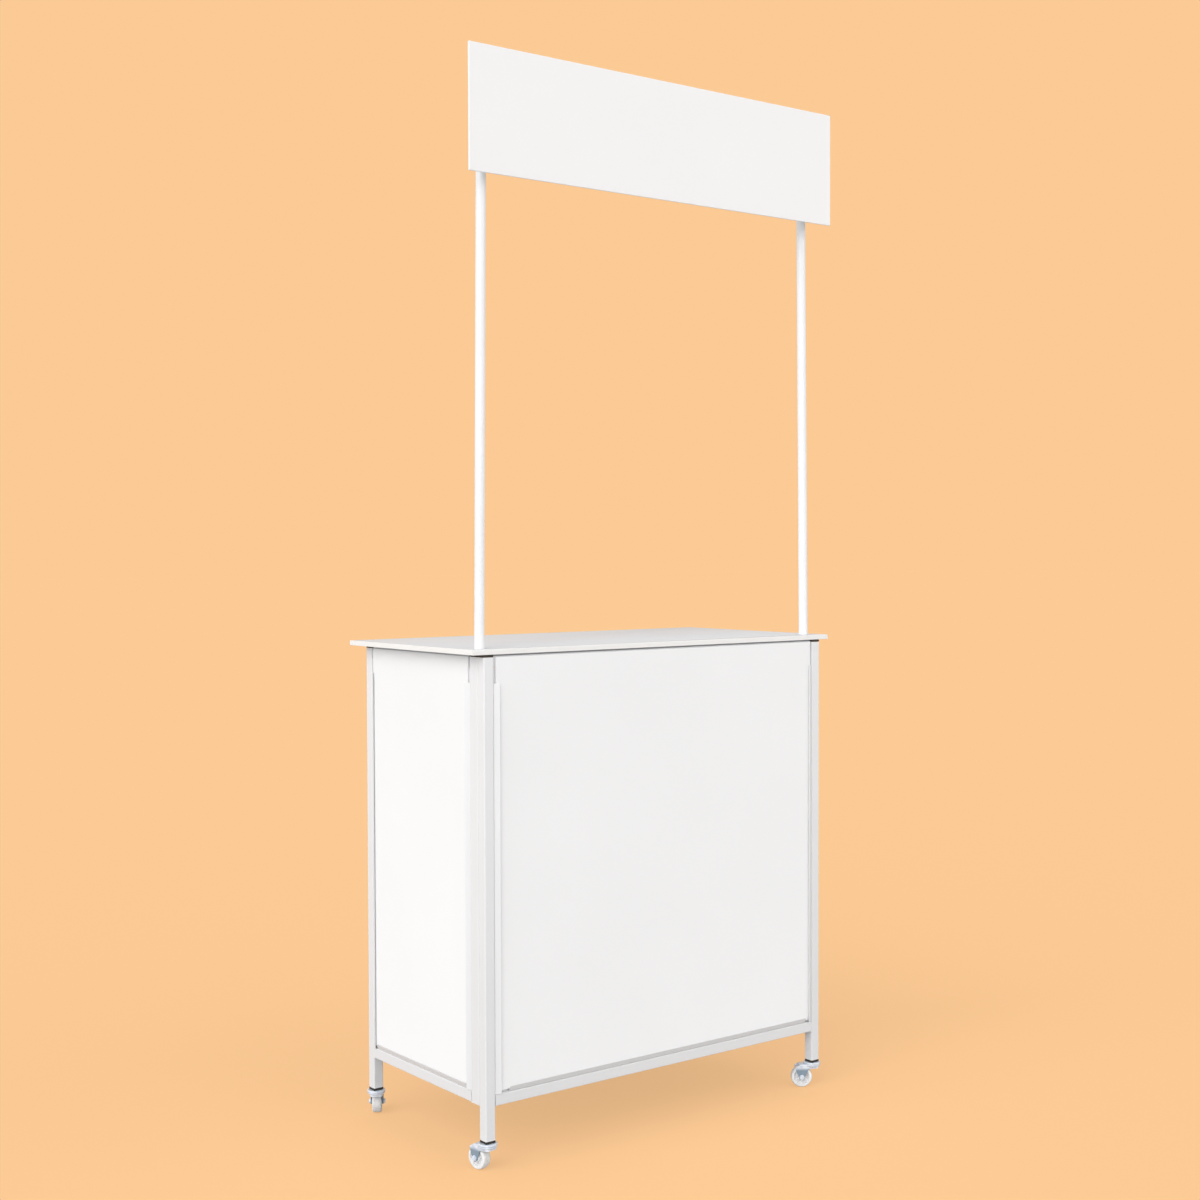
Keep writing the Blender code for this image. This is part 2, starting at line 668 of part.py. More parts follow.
# The stem and its cap are one turned piece: the stem stands in the plug, the cap rides
# over the fork's crown, and the riveted kingpin below it holds the fork up.
def build_stem(place, x, y):
    stem_top = CAP_TOP + PLUG_DEPTH
    rivet_top = CROWN_BOTTOM - SEAT_GAP
    rivet_bottom = rivet_top - KINGPIN_HEAD_HEIGHT
    edge = CAP_EDGE_ROUND
    profile = [(0.0, stem_top), (STEM_RADIUS - 0.0008, stem_top), (STEM_RADIUS, stem_top - 0.0008)]
    profile += [(STEM_RADIUS, CAP_TOP)]
    profile += arc((CAP_RADIUS - edge, CAP_TOP - edge), edge, pi / 2, 0.0, 3)
    profile += [(CAP_RADIUS, CAP_BOTTOM), (KINGPIN_RADIUS, CAP_BOTTOM)]
    profile += [(KINGPIN_RADIUS, rivet_top), (KINGPIN_HEAD_RADIUS, rivet_top)]
    profile += [(KINGPIN_HEAD_RADIUS - 0.0006, rivet_bottom), (0.0, rivet_bottom)]
    stem = smooth(turned(f"{place}_caster_stem", profile, 24))
    stem.location = (x, y, 0.0)
    finish(stem, ZINC, counter)


# The fork is one pressing: a round crown under the cap, an arm back over the wheel, two
# cheeks that narrow downwards to the axle, and a web that joins them in front.
def fork_cheek(name, y):
    """One cheek, standing in the fork's local XZ plane."""
    axle = (CASTER_TRAIL, WHEEL_RADIUS)
    top = CROWN_TOP - CROWN_HEIGHT / 3
    shoulder = top - FORK_SHOULDER_DROP
    outline = [(FORK_TOE, top), (-FORK_HEEL, top), (-FORK_HEEL, top - FORK_HEEL_DROP)]
    outline += [(CASTER_TRAIL - FORK_SHOULDER, shoulder)]
    outline += arc(axle, FORK_LOBE_RADIUS, -pi * 0.87, -pi * 0.13, 8)
    outline += [(CASTER_TRAIL + FORK_SHOULDER, shoulder)]
    cheek = extruded(name, [outline], FORK_SHEET)
    aim(cheek, (0.0, y, 0.0), (1, 0, 0), (0, 0, 1))
    return cheek


def build_fork(place, swivel):
    name = f"{place}_caster_fork"
    hole = KINGPIN_RADIUS + SEAT_GAP
    edge = CROWN_HEIGHT / 2
    rim = CAP_RADIUS - 0.0004
    crown = [(hole, CROWN_BOTTOM), (hole, CROWN_TOP), (rim, CROWN_TOP)]
    crown += arc((rim - edge, CROWN_BOTTOM + edge), edge, 0.0, -pi / 2, 3)
    fork = turned(name, crown, 24)
    middle = (FORK_INNER + FORK_OUTER) / 2
    for side, sign in SIDES.items():
        cheek = as_cutter(fork_cheek(f"{name}_{side}_cheek_form", sign * middle))
        cheek.parent = fork
        boolean(fork, cheek, "UNION")
    low = (KINGPIN_HEAD_RADIUS, -FORK_OUTER, CROWN_TOP - FORK_SHEET)
    high = (FORK_TOE, FORK_OUTER, CROWN_TOP - 0.0002)
    arm = as_cutter(block(f"{name}_arm_form", low, high))
    low = (-FORK_HEEL - FORK_SHEET / 2, -FORK_OUTER, CROWN_TOP - CROWN_HEIGHT / 3 - FORK_HEEL_DROP)
    high = (FORK_SHEET / 2 - FORK_HEEL, FORK_OUTER, CROWN_TOP - 0.0004)
    web = as_cutter(block(f"{name}_web_form", low, high))
    for form in (arm, web):
        form.parent = fork
        boolean(fork, form, "UNION")
    radius = AXLE_RADIUS + AXLE_CLEARANCE
    drill_profile = [(0.0, FORK_OUTER * 2), (radius, FORK_OUTER * 2)]
    drill_profile += [(radius, -FORK_OUTER * 2), (0.0, -FORK_OUTER * 2)]
    drill = as_cutter(turned(f"{name}_axle_hole_form", drill_profile, 16))
    drill.parent = fork
    drill.location = (CASTER_TRAIL, 0.0, WHEEL_RADIUS)
    drill.rotation_euler = (pi / 2, 0.0, 0.0)
    boolean(fork, drill, "DIFFERENCE")
    finish(fork, ZINC, swivel)


# The axle is a bolt with its nut, through both cheeks and the hub.
def build_axle(place, swivel):
    inner = FORK_OUTER + SEAT_GAP
    outer = inner + BOLT_HEAD_HEIGHT
    name = f"{place}_caster_axle"
    shank = [(0.0, outer), (AXLE_RADIUS, outer), (AXLE_RADIUS, -outer), (0.0, -outer)]
    axle = turned(name, shank, 16)
    hexagon = arc((0.0, 0.0), BOLT_HEAD_RADIUS, 0.0, 2 * pi * 5 / 6, 5)
    for end, sign in (("head", 1), ("nut", -1)):
        form = as_cutter(extruded(f"{name}_{end}_form", [hexagon], BOLT_HEAD_HEIGHT * 0.96))
        form.parent = axle
        form.location = (0.0, 0.0, sign * (inner + BOLT_HEAD_HEIGHT / 2))
        boolean(axle, form, "UNION")
    axle.location = (CASTER_TRAIL, 0.0, WHEEL_RADIUS)
    axle.rotation_euler = (pi / 2, 0.0, 0.0)
    finish(axle, ZINC, swivel)


# The wheel is one nylon moulding: a crowned tread, a thinner web and a long hub.
def build_wheel(place, swivel):
    upper = wheel_profile()
    lower = [(radius, -height) for radius, height in reversed(upper)]
    wheel = smooth(turned(f"{place}_wheel", upper + lower, WHEEL_SEGMENTS))
    wheel.location = (CASTER_TRAIL, 0.0, WHEEL_RADIUS)
    wheel.rotation_euler = (pi / 2, 0.0, 0.0)
    finish(wheel, NYLON, swivel)


def build_casters():
    for end, y in ENDS.items():
        for side, sign in SIDES.items():
            place = f"{end}_{side}"
            x = sign * POST_X
            build_stem(place, x, y)
            swivel = add_empty(f"{place}_swivel", (x, y, 0.0), counter, SWIVEL_ANGLES[place])
            build_fork(place, swivel)
            build_axle(place, swivel)
            build_wheel(place, swivel)


build_posts()
build_sockets()
build_rails()
build_plugs()
build_table_top()
build_channels()
build_panels()
build_bottom_board()
build_middle_shelf()
header_lift = add_empty("header_lift", (0.0, 0.0, 0.0), counter)
build_poles(header_lift)
build_header_board(header_lift)
build_clips(header_lift)
build_casters()
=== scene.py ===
from math import atan2, cos, hypot, pi, radians, sin

import bmesh
import bpy
from mathutils import Matrix, Vector


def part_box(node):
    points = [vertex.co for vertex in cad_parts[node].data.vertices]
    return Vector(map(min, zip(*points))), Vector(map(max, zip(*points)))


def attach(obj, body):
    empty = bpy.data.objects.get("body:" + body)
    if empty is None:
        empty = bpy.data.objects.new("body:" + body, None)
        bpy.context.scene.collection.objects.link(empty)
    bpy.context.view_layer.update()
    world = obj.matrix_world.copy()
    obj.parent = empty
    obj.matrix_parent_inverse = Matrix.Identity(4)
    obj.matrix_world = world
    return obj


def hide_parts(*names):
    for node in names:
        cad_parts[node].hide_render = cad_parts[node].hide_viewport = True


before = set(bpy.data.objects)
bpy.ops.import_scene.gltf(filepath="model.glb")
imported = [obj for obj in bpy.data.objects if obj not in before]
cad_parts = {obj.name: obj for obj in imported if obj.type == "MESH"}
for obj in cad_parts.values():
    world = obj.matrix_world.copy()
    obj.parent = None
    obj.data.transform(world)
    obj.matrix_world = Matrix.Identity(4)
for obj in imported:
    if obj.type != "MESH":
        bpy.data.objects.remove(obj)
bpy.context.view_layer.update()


# The room: one pale floor under an even sky of the same colour, a soft key light from
# the upper left, a weaker fill, and the camera at the photo's viewing angle. The floor
# and sky send neutral light to the counter, so that its white stays white.
SKY_COLOUR = (0.970, 0.592, 0.300, 1.0)
FLOOR_LIT = (0.335, 0.204, 0.103, 1.0)
FLOOR_GLOW = (0.622, 0.379, 0.192, 1.0)
UNLIT = (0.0, 0.0, 0.0, 1.0)
NEUTRAL_FLOOR = (0.50, 0.50, 0.50, 1.0)
SKY_LIGHT = (0.62, 0.62, 0.62, 1.0)
FLOOR_REACH = 60
FRAME_HALF_DEPTH = 0.200
EYE = Vector((-2.0543, -2.6806, 1.0775))
EYE_YAW = radians(-37.52)
EYE_PITCH = radians(-1.69)
EYE_ROLL = radians(-0.15)
EYE_LENS = 52.31

footprint_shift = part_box("front_left_post")[0][1] + FRAME_HALF_DEPTH


def add_node(tree, kind, output, inputs, **settings):
    """Add a node, with each input linked to a socket or set to a value; give one output."""
    node = tree.nodes.new(kind)
    for field, value in settings.items():
        setattr(node, field, value)
    for socket, value in inputs.items():
        if isinstance(value, bpy.types.NodeSocket):
            tree.links.new(value, node.inputs[socket])
        else:
            node.inputs[socket].default_value = value
    return node.outputs[output]


def combine(tree, operation, first, second):
    """Two numbers made one by a math operation."""
    return add_node(tree, "ShaderNodeMath", "Value", {0: first, 1: second}, operation=operation)


def mix_colours(tree, factor, first, second):
    """Lay the second colour over the first by a factor."""
    inputs = {"Factor": factor, 6: first, 7: second}
    return add_node(tree, "ShaderNodeMix", 2, inputs, data_type="RGBA")


def two_colours(tree, unseen, seen):
    """One colour for the light a surface sends out, another where it is seen directly."""
    path = tree.nodes.new("ShaderNodeLightPath").outputs
    direct = combine(tree, "MAXIMUM", path["Is Camera Ray"], path["Is Glossy Ray"])
    direct = combine(tree, "MAXIMUM", direct, path["Is Transmission Ray"])
    return mix_colours(tree, direct, unseen, seen)


floor_mesh = bpy.data.meshes.new("floor_sheet")
floor_corners = [(x * FLOOR_REACH, y * FLOOR_REACH, 0) for x, y in ((-1, -1), (1, -1), (1, 1), (-1, 1))]
floor_mesh.from_pydata(floor_corners, [], [(0, 1, 2, 3)])
floor = bpy.data.objects.new("floor_sheet", floor_mesh)
bpy.context.scene.collection.objects.link(floor)
floor_finish = bpy.data.materials.new("pale_floor")
floor_finish.use_nodes = True
floor_tree = floor_finish.node_tree
floor_shader = floor_tree.nodes["Principled BSDF"].inputs
floor_shader["Roughness"].default_value = 1.0
floor_shader["Specular IOR Level"].default_value = 0.0
floor_shader["Emission Strength"].default_value = 1.0
floor_tree.links.new(two_colours(floor_tree, NEUTRAL_FLOOR, FLOOR_LIT), floor_shader["Base Color"])
floor_tree.links.new(two_colours(floor_tree, UNLIT, FLOOR_GLOW), floor_shader["Emission Color"])
floor.data.materials.append(floor_finish)

world = bpy.data.worlds.new("soft_room")
world.use_nodes = True
sky = world.node_tree
sky.links.new(two_colours(sky, SKY_LIGHT, SKY_COLOUR), sky.nodes["Background"].inputs["Color"])
bpy.context.scene.world = world


def soft_sun(name, towards, strength, spread_angle):
    """A distant soft white light; towards points from the counter to the light."""
    lamp = bpy.data.lights.new(name, "SUN")
    lamp.energy = strength
    lamp.angle = spread_angle
    holder = bpy.data.objects.new(name, lamp)
    holder.rotation_euler = Vector(towards).to_track_quat("Z", "Y").to_euler()
    bpy.context.scene.collection.objects.link(holder)


soft_sun("key_light", (-0.80, -0.28, 0.52), 1.98, radians(56))
soft_sun("fill_light", (0.35, -0.85, 0.35), 0.85, radians(70))

eye_forward = Vector((-sin(EYE_YAW) * cos(EYE_PITCH), cos(EYE_YAW) * cos(EYE_PITCH), sin(EYE_PITCH)))
eye_level = Vector((cos(EYE_YAW), sin(EYE_YAW), 0.0))
eye_up = eye_level.cross(eye_forward)
eye_right = eye_level * cos(EYE_ROLL) + eye_up * sin(EYE_ROLL)
eye_top = eye_up * cos(EYE_ROLL) - eye_level * sin(EYE_ROLL)
eye_turn = Matrix((eye_right, eye_top, -eye_forward)).transposed().to_4x4()
camera = bpy.data.objects.new("camera", bpy.data.cameras.new("camera"))
camera.data.sensor_fit = "HORIZONTAL"
camera.data.sensor_width = 36.0
camera.data.lens = EYE_LENS
camera.matrix_world = Matrix.Translation(EYE + Vector((0.0, footprint_shift, 0.0))) @ eye_turn
bpy.context.scene.collection.objects.link(camera)
bpy.context.scene.camera = camera
bpy.context.scene.view_settings.view_transform = "Standard"


# The frame: welded square steel tube, powder coated white as one piece. The coat has
# a fine orange peel and is scuffed low on the legs.
TUBE_WALL = 0.0008
SOCKET_WALL = 0.0010
TUBE_CORNER = 0.0019
CORNER_STEPS = 5
FLAT_MARGIN = 0.0003
POWDER_WHITE = (0.835, 0.843, 0.856)
POWDER_SHADE = (0.812, 0.820, 0.833)
# Painted shade: the coat is mixed towards this darker tone nearer the floor.
POWDER_PAINTED_SHADE = (0.742, 0.750, 0.762)
SCUFF_GREY = (0.50, 0.49, 0.47)


def add_noise(tree, where, scale, detail=3.0, roughness=0.5):
    """A noise pattern at so many turns per metre."""
    inputs = {"Scale": scale, "Detail": detail, "Roughness": roughness, "Vector": where}
    return add_node(tree, "ShaderNodeTexNoise", "Fac", inputs)


def spread(tree, factor, low, high, start=0.3, stop=0.7):
    """A number that runs from low to high as a pattern runs from start to stop."""
    inputs = {"From Min": start, "From Max": stop, "To Min": low, "To Max": high, "Value": factor}
    return add_node(tree, "ShaderNodeMapRange", "Result", inputs)


def by_height(low, high, start, stop):
    """A mask that runs from low to high between two heights above the floor."""
    def mask(tree, where):
        height = add_node(tree, "ShaderNodeSeparateXYZ", "Z", {"Vector": where})
        return spread(tree, height, low, high, start, stop)
    return mask


def make_finish(name, plain, tones, cloud, sheen, bumps, span=(0.35, 0.65), layers=()):
    """Two tones in a cloud, under layers of (mask, colour), with a sheen and bumps.

    A pattern is a noise's scale, detail and roughness; a bump's height is in metres.
    """
    made = bpy.data.materials.new(name)
    made.use_nodes = True
    tree = made.node_tree
    shader = tree.nodes["Principled BSDF"].inputs
    for socket, value in plain.items():
        shader[socket].default_value = value
    where = add_node(tree, "ShaderNodeTexCoord", "Object", {})
    ramp = tree.nodes.new("ShaderNodeValToRGB")
    for element, position, tone in zip(ramp.color_ramp.elements, span, tones):
        element.position = position
        element.color = (*tone, 1.0)
    tree.links.new(add_noise(tree, where, *cloud), ramp.inputs["Fac"])
    colour = ramp.outputs["Color"]
    for mask, tone in layers:
        colour = mix_colours(tree, mask(tree, where), colour, (*tone, 1.0))
    tree.links.new(colour, shader["Base Color"])
    if sheen:
        pattern, low, high = sheen
        dulled = spread(tree, add_noise(tree, where, *pattern), low, high)
        tree.links.new(dulled, shader["Roughness"])
    normal = None
    for pattern, height in bumps:
        inputs = {"Strength": 1.0, "Distance": height, "Height": add_noise(tree, where, *pattern)}
        if normal:
            inputs["Normal"] = normal
        normal = add_node(tree, "ShaderNodeBump", "Normal", inputs)
    tree.links.new(normal, shader["Normal"])
    return made


def leg_scuffs(tree, where):
    """The mask of the scuffs low on the legs."""
    marks = spread(tree, add_noise(tree, where, 240.0, 6.0, 0.7), 0.0, 0.55, 0.60, 0.72)
    return combine(tree, "MULTIPLY", by_height(1.0, 0.0, 0.055, 0.16)(tree, where), marks)


def powder_coat(name, light, shade_tone, painted_low_shade):
    """White powder coat with orange peel, shade painted darker towards the floor, scuffed low on the legs.
    """
    return make_finish(
        name, {"Roughness": 0.42}, (shade_tone, light), (9.0, 4.0), ((60.0, 3.0), 0.36, 0.48),
        [((900.0, 2.0), 0.00004)],
        layers=[(by_height(0.92, 0.0, 0.10, 0.80), painted_low_shade), (leg_scuffs, SCUFF_GREY)])


POWDER_COAT = powder_coat("powder_coat", POWDER_WHITE, POWDER_SHADE, POWDER_PAINTED_SHADE)


def corner_loop(width, height, radius, steps=CORNER_STEPS, margin=FLAT_MARGIN):
    """A rounded rectangle as flat points, with a spare point on each flat's ends."""
    points = []
    for quarter, (side_x, side_y) in enumerate(((1, 1), (-1, 1), (-1, -1), (1, -1))):
        x = side_x * (width / 2 - radius)
        y = side_y * (height / 2 - radius)
        first = quarter * pi / 2
        last = first + pi / 2
        turns = [first + pi / 2 * step / steps for step in range(steps + 1)]
        arc = [(x + radius * cos(turn), y + radius * sin(turn)) for turn in turns]
        points.append((arc[0][0] + margin * sin(first), arc[0][1] - margin * cos(first)))
        points += arc
        points.append((arc[-1][0] - margin * sin(last), arc[-1][1] + margin * cos(last)))
    return points


def round_loop(radius, count):
    """A circle as flat points."""
    turns = [2 * pi * step / count for step in range(count)]
    return [(radius * cos(turn), radius * sin(turn)) for turn in turns]


def at_height(loop, height):
    """Lift a flat loop to a height."""
    return [(x, y, height) for x, y in loop]


def turn_outwards(mesh, merge=0.0):
    """Merge a mesh's doubles, where a distance is given, and turn its faces outwards."""
    shape = bmesh.new()
    shape.from_mesh(mesh)
    if merge:
        bmesh.ops.remove_doubles(shape, verts=shape.verts, dist=merge)
    bmesh.ops.recalc_face_normals(shape, faces=shape.faces)
    shape.to_mesh(mesh)
    shape.free()


def skin(name, loops, ring=False):
    """Skin a row of equal loops; a ring joins the last to the first, or else caps close it."""
    count = len(loops[0])
    points = [point for loop in loops for point in loop]
    faces = []
    for row in range(len(loops) if ring else len(loops) - 1):
        here = row * count
        there = (row + 1) % len(loops) * count
        for i in range(count):
            j = (i + 1) % count
            faces.append((here + i, here + j, there + j, there + i))
    if not ring:
        faces.append(tuple(reversed(range(count))))
        faces.append(tuple(range(len(points) - count, len(points))))
    mesh = bpy.data.meshes.new(name)
    mesh.from_pydata(points, [], faces)
    turn_outwards(mesh)
    return bpy.data.objects.new(name, mesh)


def swept(name, section, start, stop):
    """A flat section swept from one height to another."""
    return skin(name, [at_height(section, start), at_height(section, stop)])


def shade(piece, angle=radians(32)):
    """Smooth shading, with real edges kept sharp."""
    piece.data.shade_smooth()
    piece.data.set_sharp_from_angle(angle=angle)
    return piece


def stand(piece, place, across=(1, 0, 0), inward=(0, 1, 0)):
    """Bake a place into a mesh: its local X runs across and its local Y inward."""
    u = Vector(across).normalized()
    d = Vector(inward).normalized()
    turn = Matrix((u, d, u.cross(d))).transposed().to_4x4()
    piece.data.transform(Matrix.Translation(place) @ turn)
    return piece


def settle(piece):
    """Apply a piece's modifiers, so that its mesh is final."""
    bpy.context.scene.collection.objects.link(piece)
    graph = bpy.context.evaluated_depsgraph_get()
    mesh = bpy.data.meshes.new_from_object(piece.evaluated_get(graph))
    mesh.name = piece.name
    bpy.context.scene.collection.objects.unlink(piece)
    piece.modifiers.clear()
    piece.data = mesh
    return piece


def fit(piece, finish, slot, body, *nodes):
    """Put a finished piece in the scene, on its body, in place of its CAD nodes."""
    piece.data.materials.clear()
    piece.data.materials.append(finish)
    for face in piece.data.polygons:
        face.material_index = 0
    bpy.context.scene.collection.objects.link(piece)
    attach(piece, body)
    if nodes:
        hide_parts(*nodes)


def fit_coated(piece, *nodes):
    """Put one powder-coated piece of the frame in the scene."""
    fit(shade(piece), POWDER_COAT, "white_paint", "counter", *nodes)


def corners(node):
    """The low and the high corner of a CAD node's box."""
    return tuple(Vector(corner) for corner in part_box(node))


def middle_of(node):
    """The middle of a CAD node's box."""
    low, high = corners(node)
    return (low + high) / 2


def frame_tube(node, along, wall=TUBE_WALL):
    """One cut length of tube in a CAD node's box, running along X, Y or Z."""
    low, high = corners(node)
    size = high - low
    axes = {
        "x": ((0, 0, -1), (0, 1, 0), size.z, size.y, size.x),
        "y": ((0, 0, 1), (1, 0, 0), size.z, size.x, size.y),
        "z": ((1, 0, 0), (0, 1, 0), size.x, size.y, size.z),
    }
    across, inward, width, depth, length = axes[along]
    outer = corner_loop(width, depth, TUBE_CORNER)
    bore = corner_loop(width - 2 * wall, depth - 2 * wall, TUBE_CORNER - wall)
    loops = [at_height(outer, -length / 2), at_height(outer, length / 2)]
    loops += [at_height(bore, length / 2), at_height(bore, -length / 2)]
    tube = skin(f"{node}_tube", loops, ring=True)
    stand(tube, middle_of(node), across, inward)
    fit_coated(tube, node)


for end in ("front", "rear"):
    for side in ("left", "right"):
        frame_tube(f"{end}_{side}_post", "z")
    frame_tube(f"bottom_{end}_rail", "x")
    frame_tube(f"top_{end}_rail", "x")
for side in ("left", "right"):
    frame_tube(f"{side}_pole_socket", "z", SOCKET_WALL)
    frame_tube(f"bottom_{side}_rail", "y")
    frame_tube(f"top_{side}_rail", "y")


# The welds: short fillets of overlapping ripples where a tube meets another, left on
# the inside and underneath and dressed flat outside, all under the same powder coat.
BEAD_PITCH = 0.0011
BEAD_SIZE = 0.0012
BEAD_INSET = 0.0015
TACK_LENGTH = 0.014
TACK_HEIGHTS = (0.20, 0.42, 0.66, 0.84)


def node_tree(name, inputs, output, nodes, wires):
    """A Geometry Nodes tree from tables; it ends in Realize Instances and Set Material.

    A node is its kind, its settings and its plain inputs. Returns the tree and the
    identifiers of its inputs after the first.
    """
    tree = bpy.data.node_groups.new(name, "GeometryNodeTree")
    identifiers = []
    for socket, kind in inputs + [("Finish", "Material")]:
        given = tree.interface.new_socket(socket, in_out="INPUT", socket_type=f"NodeSocket{kind}")
        identifiers.append(given.identifier)
    tree.interface.new_socket(output, in_out="OUTPUT", socket_type="NodeSocketGeometry")
    nodes["given"] = ("NodeGroupInput",)
    nodes["solid"] = ("GeometryNodeRealizeInstances",)
    nodes["coated"] = ("GeometryNodeSetMaterial",)
    nodes["made"] = ("NodeGroupOutput",)
    made = {}
    for key, table in nodes.items():
        kind, settings, values = (*table, {}, {})[:3]
        made[key] = tree.nodes.new(kind)
        for field, value in settings.items():
            setattr(made[key], field, value)
        for socket, value in values.items():
            made[key].inputs[socket].default_value = value
    ending = ["placed.Instances > solid.Geometry", "given.Finish > coated.Material",
              f"coated.Geometry > made.{output}"]
    for wire in wires + ending:
        start, stop = (end.split(".") for end in wire.split(" > "))
        tree.links.new(made[start[0]].outputs[start[1]], made[stop[0]].inputs[stop[1]])
    return (tree, *identifiers[1:])


def grow(piece, tree, *values):
    """Run a node tree on a piece with its inputs in order, and keep the plain mesh."""
    group, *sockets = tree
    modifier = piece.modifiers.new(group.name, "NODES")
    modifier.node_group = group
    for socket, value in zip(sockets, values):
        modifier[socket] = value
    return settle(piece)


def lay_beads(name, paths, seed):
    """Weld beads along a list of paths."""
    mesh = bpy.data.meshes.new(name)
    points = [point for path in paths for point in path]
    edges = []
    start = 0
    for path in paths:
        edges += [(start + i, start + i + 1) for i in range(len(path) - 1)]
        start += len(path)
    mesh.from_pydata(points, edges, [])
    guide = bpy.data.objects.new(name, mesh)
    return grow(guide, BEAD_TREE, BEAD_PITCH, BEAD_SIZE, seed, POWDER_COAT)


# Overlapping ripples set along every edge of a path.
BEAD_TREE = node_tree(
    "weld_ripples",
    [("Path", "Geometry"), ("Pitch", "Float"), ("Ripple Size", "Float"), ("Seed", "Int")], "Beads",
    {
        "curve": ("GeometryNodeMeshToCurve",),
        "spaced": ("GeometryNodeResampleCurve", {"mode": "LENGTH"}),
        "ripple": ("GeometryNodeMeshIcoSphere", {}, {"Subdivisions": 2}),
        "smoothed": ("GeometryNodeSetShadeSmooth",),
        "placed": ("GeometryNodeInstanceOnPoints",),
        "sizes": ("FunctionNodeRandomValue", {"data_type": "FLOAT_VECTOR"},
                  {"Min": (0.82, 0.82, 0.82), "Max": (1.12, 1.12, 1.12)}),
    },
    ["given.Path > curve.Mesh", "curve.Curve > spaced.Curve", "given.Pitch > spaced.Length",
     "given.Ripple Size > ripple.Radius", "ripple.Mesh > smoothed.Geometry",
     "spaced.Curve > placed.Points", "smoothed.Geometry > placed.Instance",
     "given.Seed > sizes.Seed", "sizes.Value > placed.Scale", "solid.Geometry > coated.Geometry"])
weld_paths = []
inner = BEAD_INSET / 3
SIDES = (("left", -1), ("right", 1))


def end_weld(node, axis, end):
    """The path of a fillet under and inside one end of a rail that runs along an axis."""
    low, high = corners(node)
    other = 1 - axis
    side = 1 if low[other] + high[other] > 0 else -1
    near, far = (low, high) if side > 0 else (high, low)
    inside = near[other] - side * inner
    outside = far[other] - side * BEAD_INSET
    path = []
    for across, height in ((outside, low.z - inner), (inside, low.z - inner), (inside, high.z - BEAD_INSET)):
        point = [across, across, height]
        point[axis] = (high if end > 0 else low)[axis] - end * inner
        path.append(tuple(point))
    return path


for end in (-1, 1):
    for rail in ("bottom_front_rail", "bottom_rear_rail", "top_rear_rail", "top_front_rail"):
        weld_paths.append(end_weld(rail, 0, end))
    for rail in ("bottom_left_rail", "bottom_right_rail", "top_left_rail", "top_right_rail"):
        weld_paths.append(end_weld(rail, 1, end))
for side, sign in SIDES:
    low, high = corners(f"{side}_pole_socket")
    seam_x = high.x if sign < 0 else low.x
    for height in TACK_HEIGHTS:
        foot = (seam_x - sign * inner * 0.4, low.y - inner * 0.3, height)
        weld_paths.append([foot, (foot[0], foot[1], height + TACK_LENGTH)])
    ends = [(x, low.y, low.z - inner * 0.6) for x in (low.x + BEAD_INSET, high.x - BEAD_INSET)]
    weld_paths.append(ends)
welds = lay_beads("frame_welds", weld_paths, 5)
fit(welds, POWDER_COAT, "white_paint", "counter")


# The panel channels: strips of 1 mm steel folded on a press, tacked and painted. The
# front lip flares out past the frame's face, so that the panel slides in behind it.
# Where the lip stops, the rest of the strip runs on behind the panel.
CHANNEL_SHEET = 0.0010
CHANNEL_BEND = 0.0006
CHANNEL_LEG = 0.0120
CHANNEL_DEPTH = 0.0053
LIP_WIDTH = 0.0105
LIP_ROOT = 0.0010
LIP_PROUD = 0.0038
BEND_STEPS = 4
RUN_GAP = 0.0001
RUN_CLEAR = 0.0003
BOTTOM_NEIGHBOURS = {
    "front_bottom_channel": ("front_left_channel", "front_right_channel"),
    "left_bottom_channel": ("left_front_channel", "left_rear_channel"),
    "right_bottom_channel": ("right_front_channel", "right_rear_channel"),
}


def folded_section(path, sheet, bend):
    """The closed outline of a sheet folded along a path, with rounded bends."""
    line = [Vector(path[0])]
    for before, here, after in zip(path, path[1:], path[2:]):
        here = Vector(here)
        back = (Vector(before) - here).normalized()
        ahead = (Vector(after) - here).normalized()
        half = back.angle(ahead) / 2
        radius = bend + sheet / 2
        reach = radius / max(0.05, abs(sin(half) / cos(half)))
        centre = here + (back + ahead).normalized() * (radius / sin(half))
        first = here + back * reach - centre
        last = here + ahead * reach - centre
        swing = first.angle_signed(last)
        for step in range(BEND_STEPS + 1):
            turned = Matrix.Rotation(-swing * step / BEND_STEPS, 2) @ first
            line.append(centre + turned)
    line.append(Vector(path[-1]))
    left = []
    right = []
    for i, point in enumerate(line):
        ahead = (line[min(i + 1, len(line) - 1)] - point)
        behind = (point - line[max(i - 1, 0)])
        run = (ahead.normalized() + behind.normalized()).normalized()
        side = Vector((-run.y, run.x)) * (sheet / 2)
        left.append(point + side)
        right.append(point - side)
    return [tuple(point) for point in left + right[::-1]]


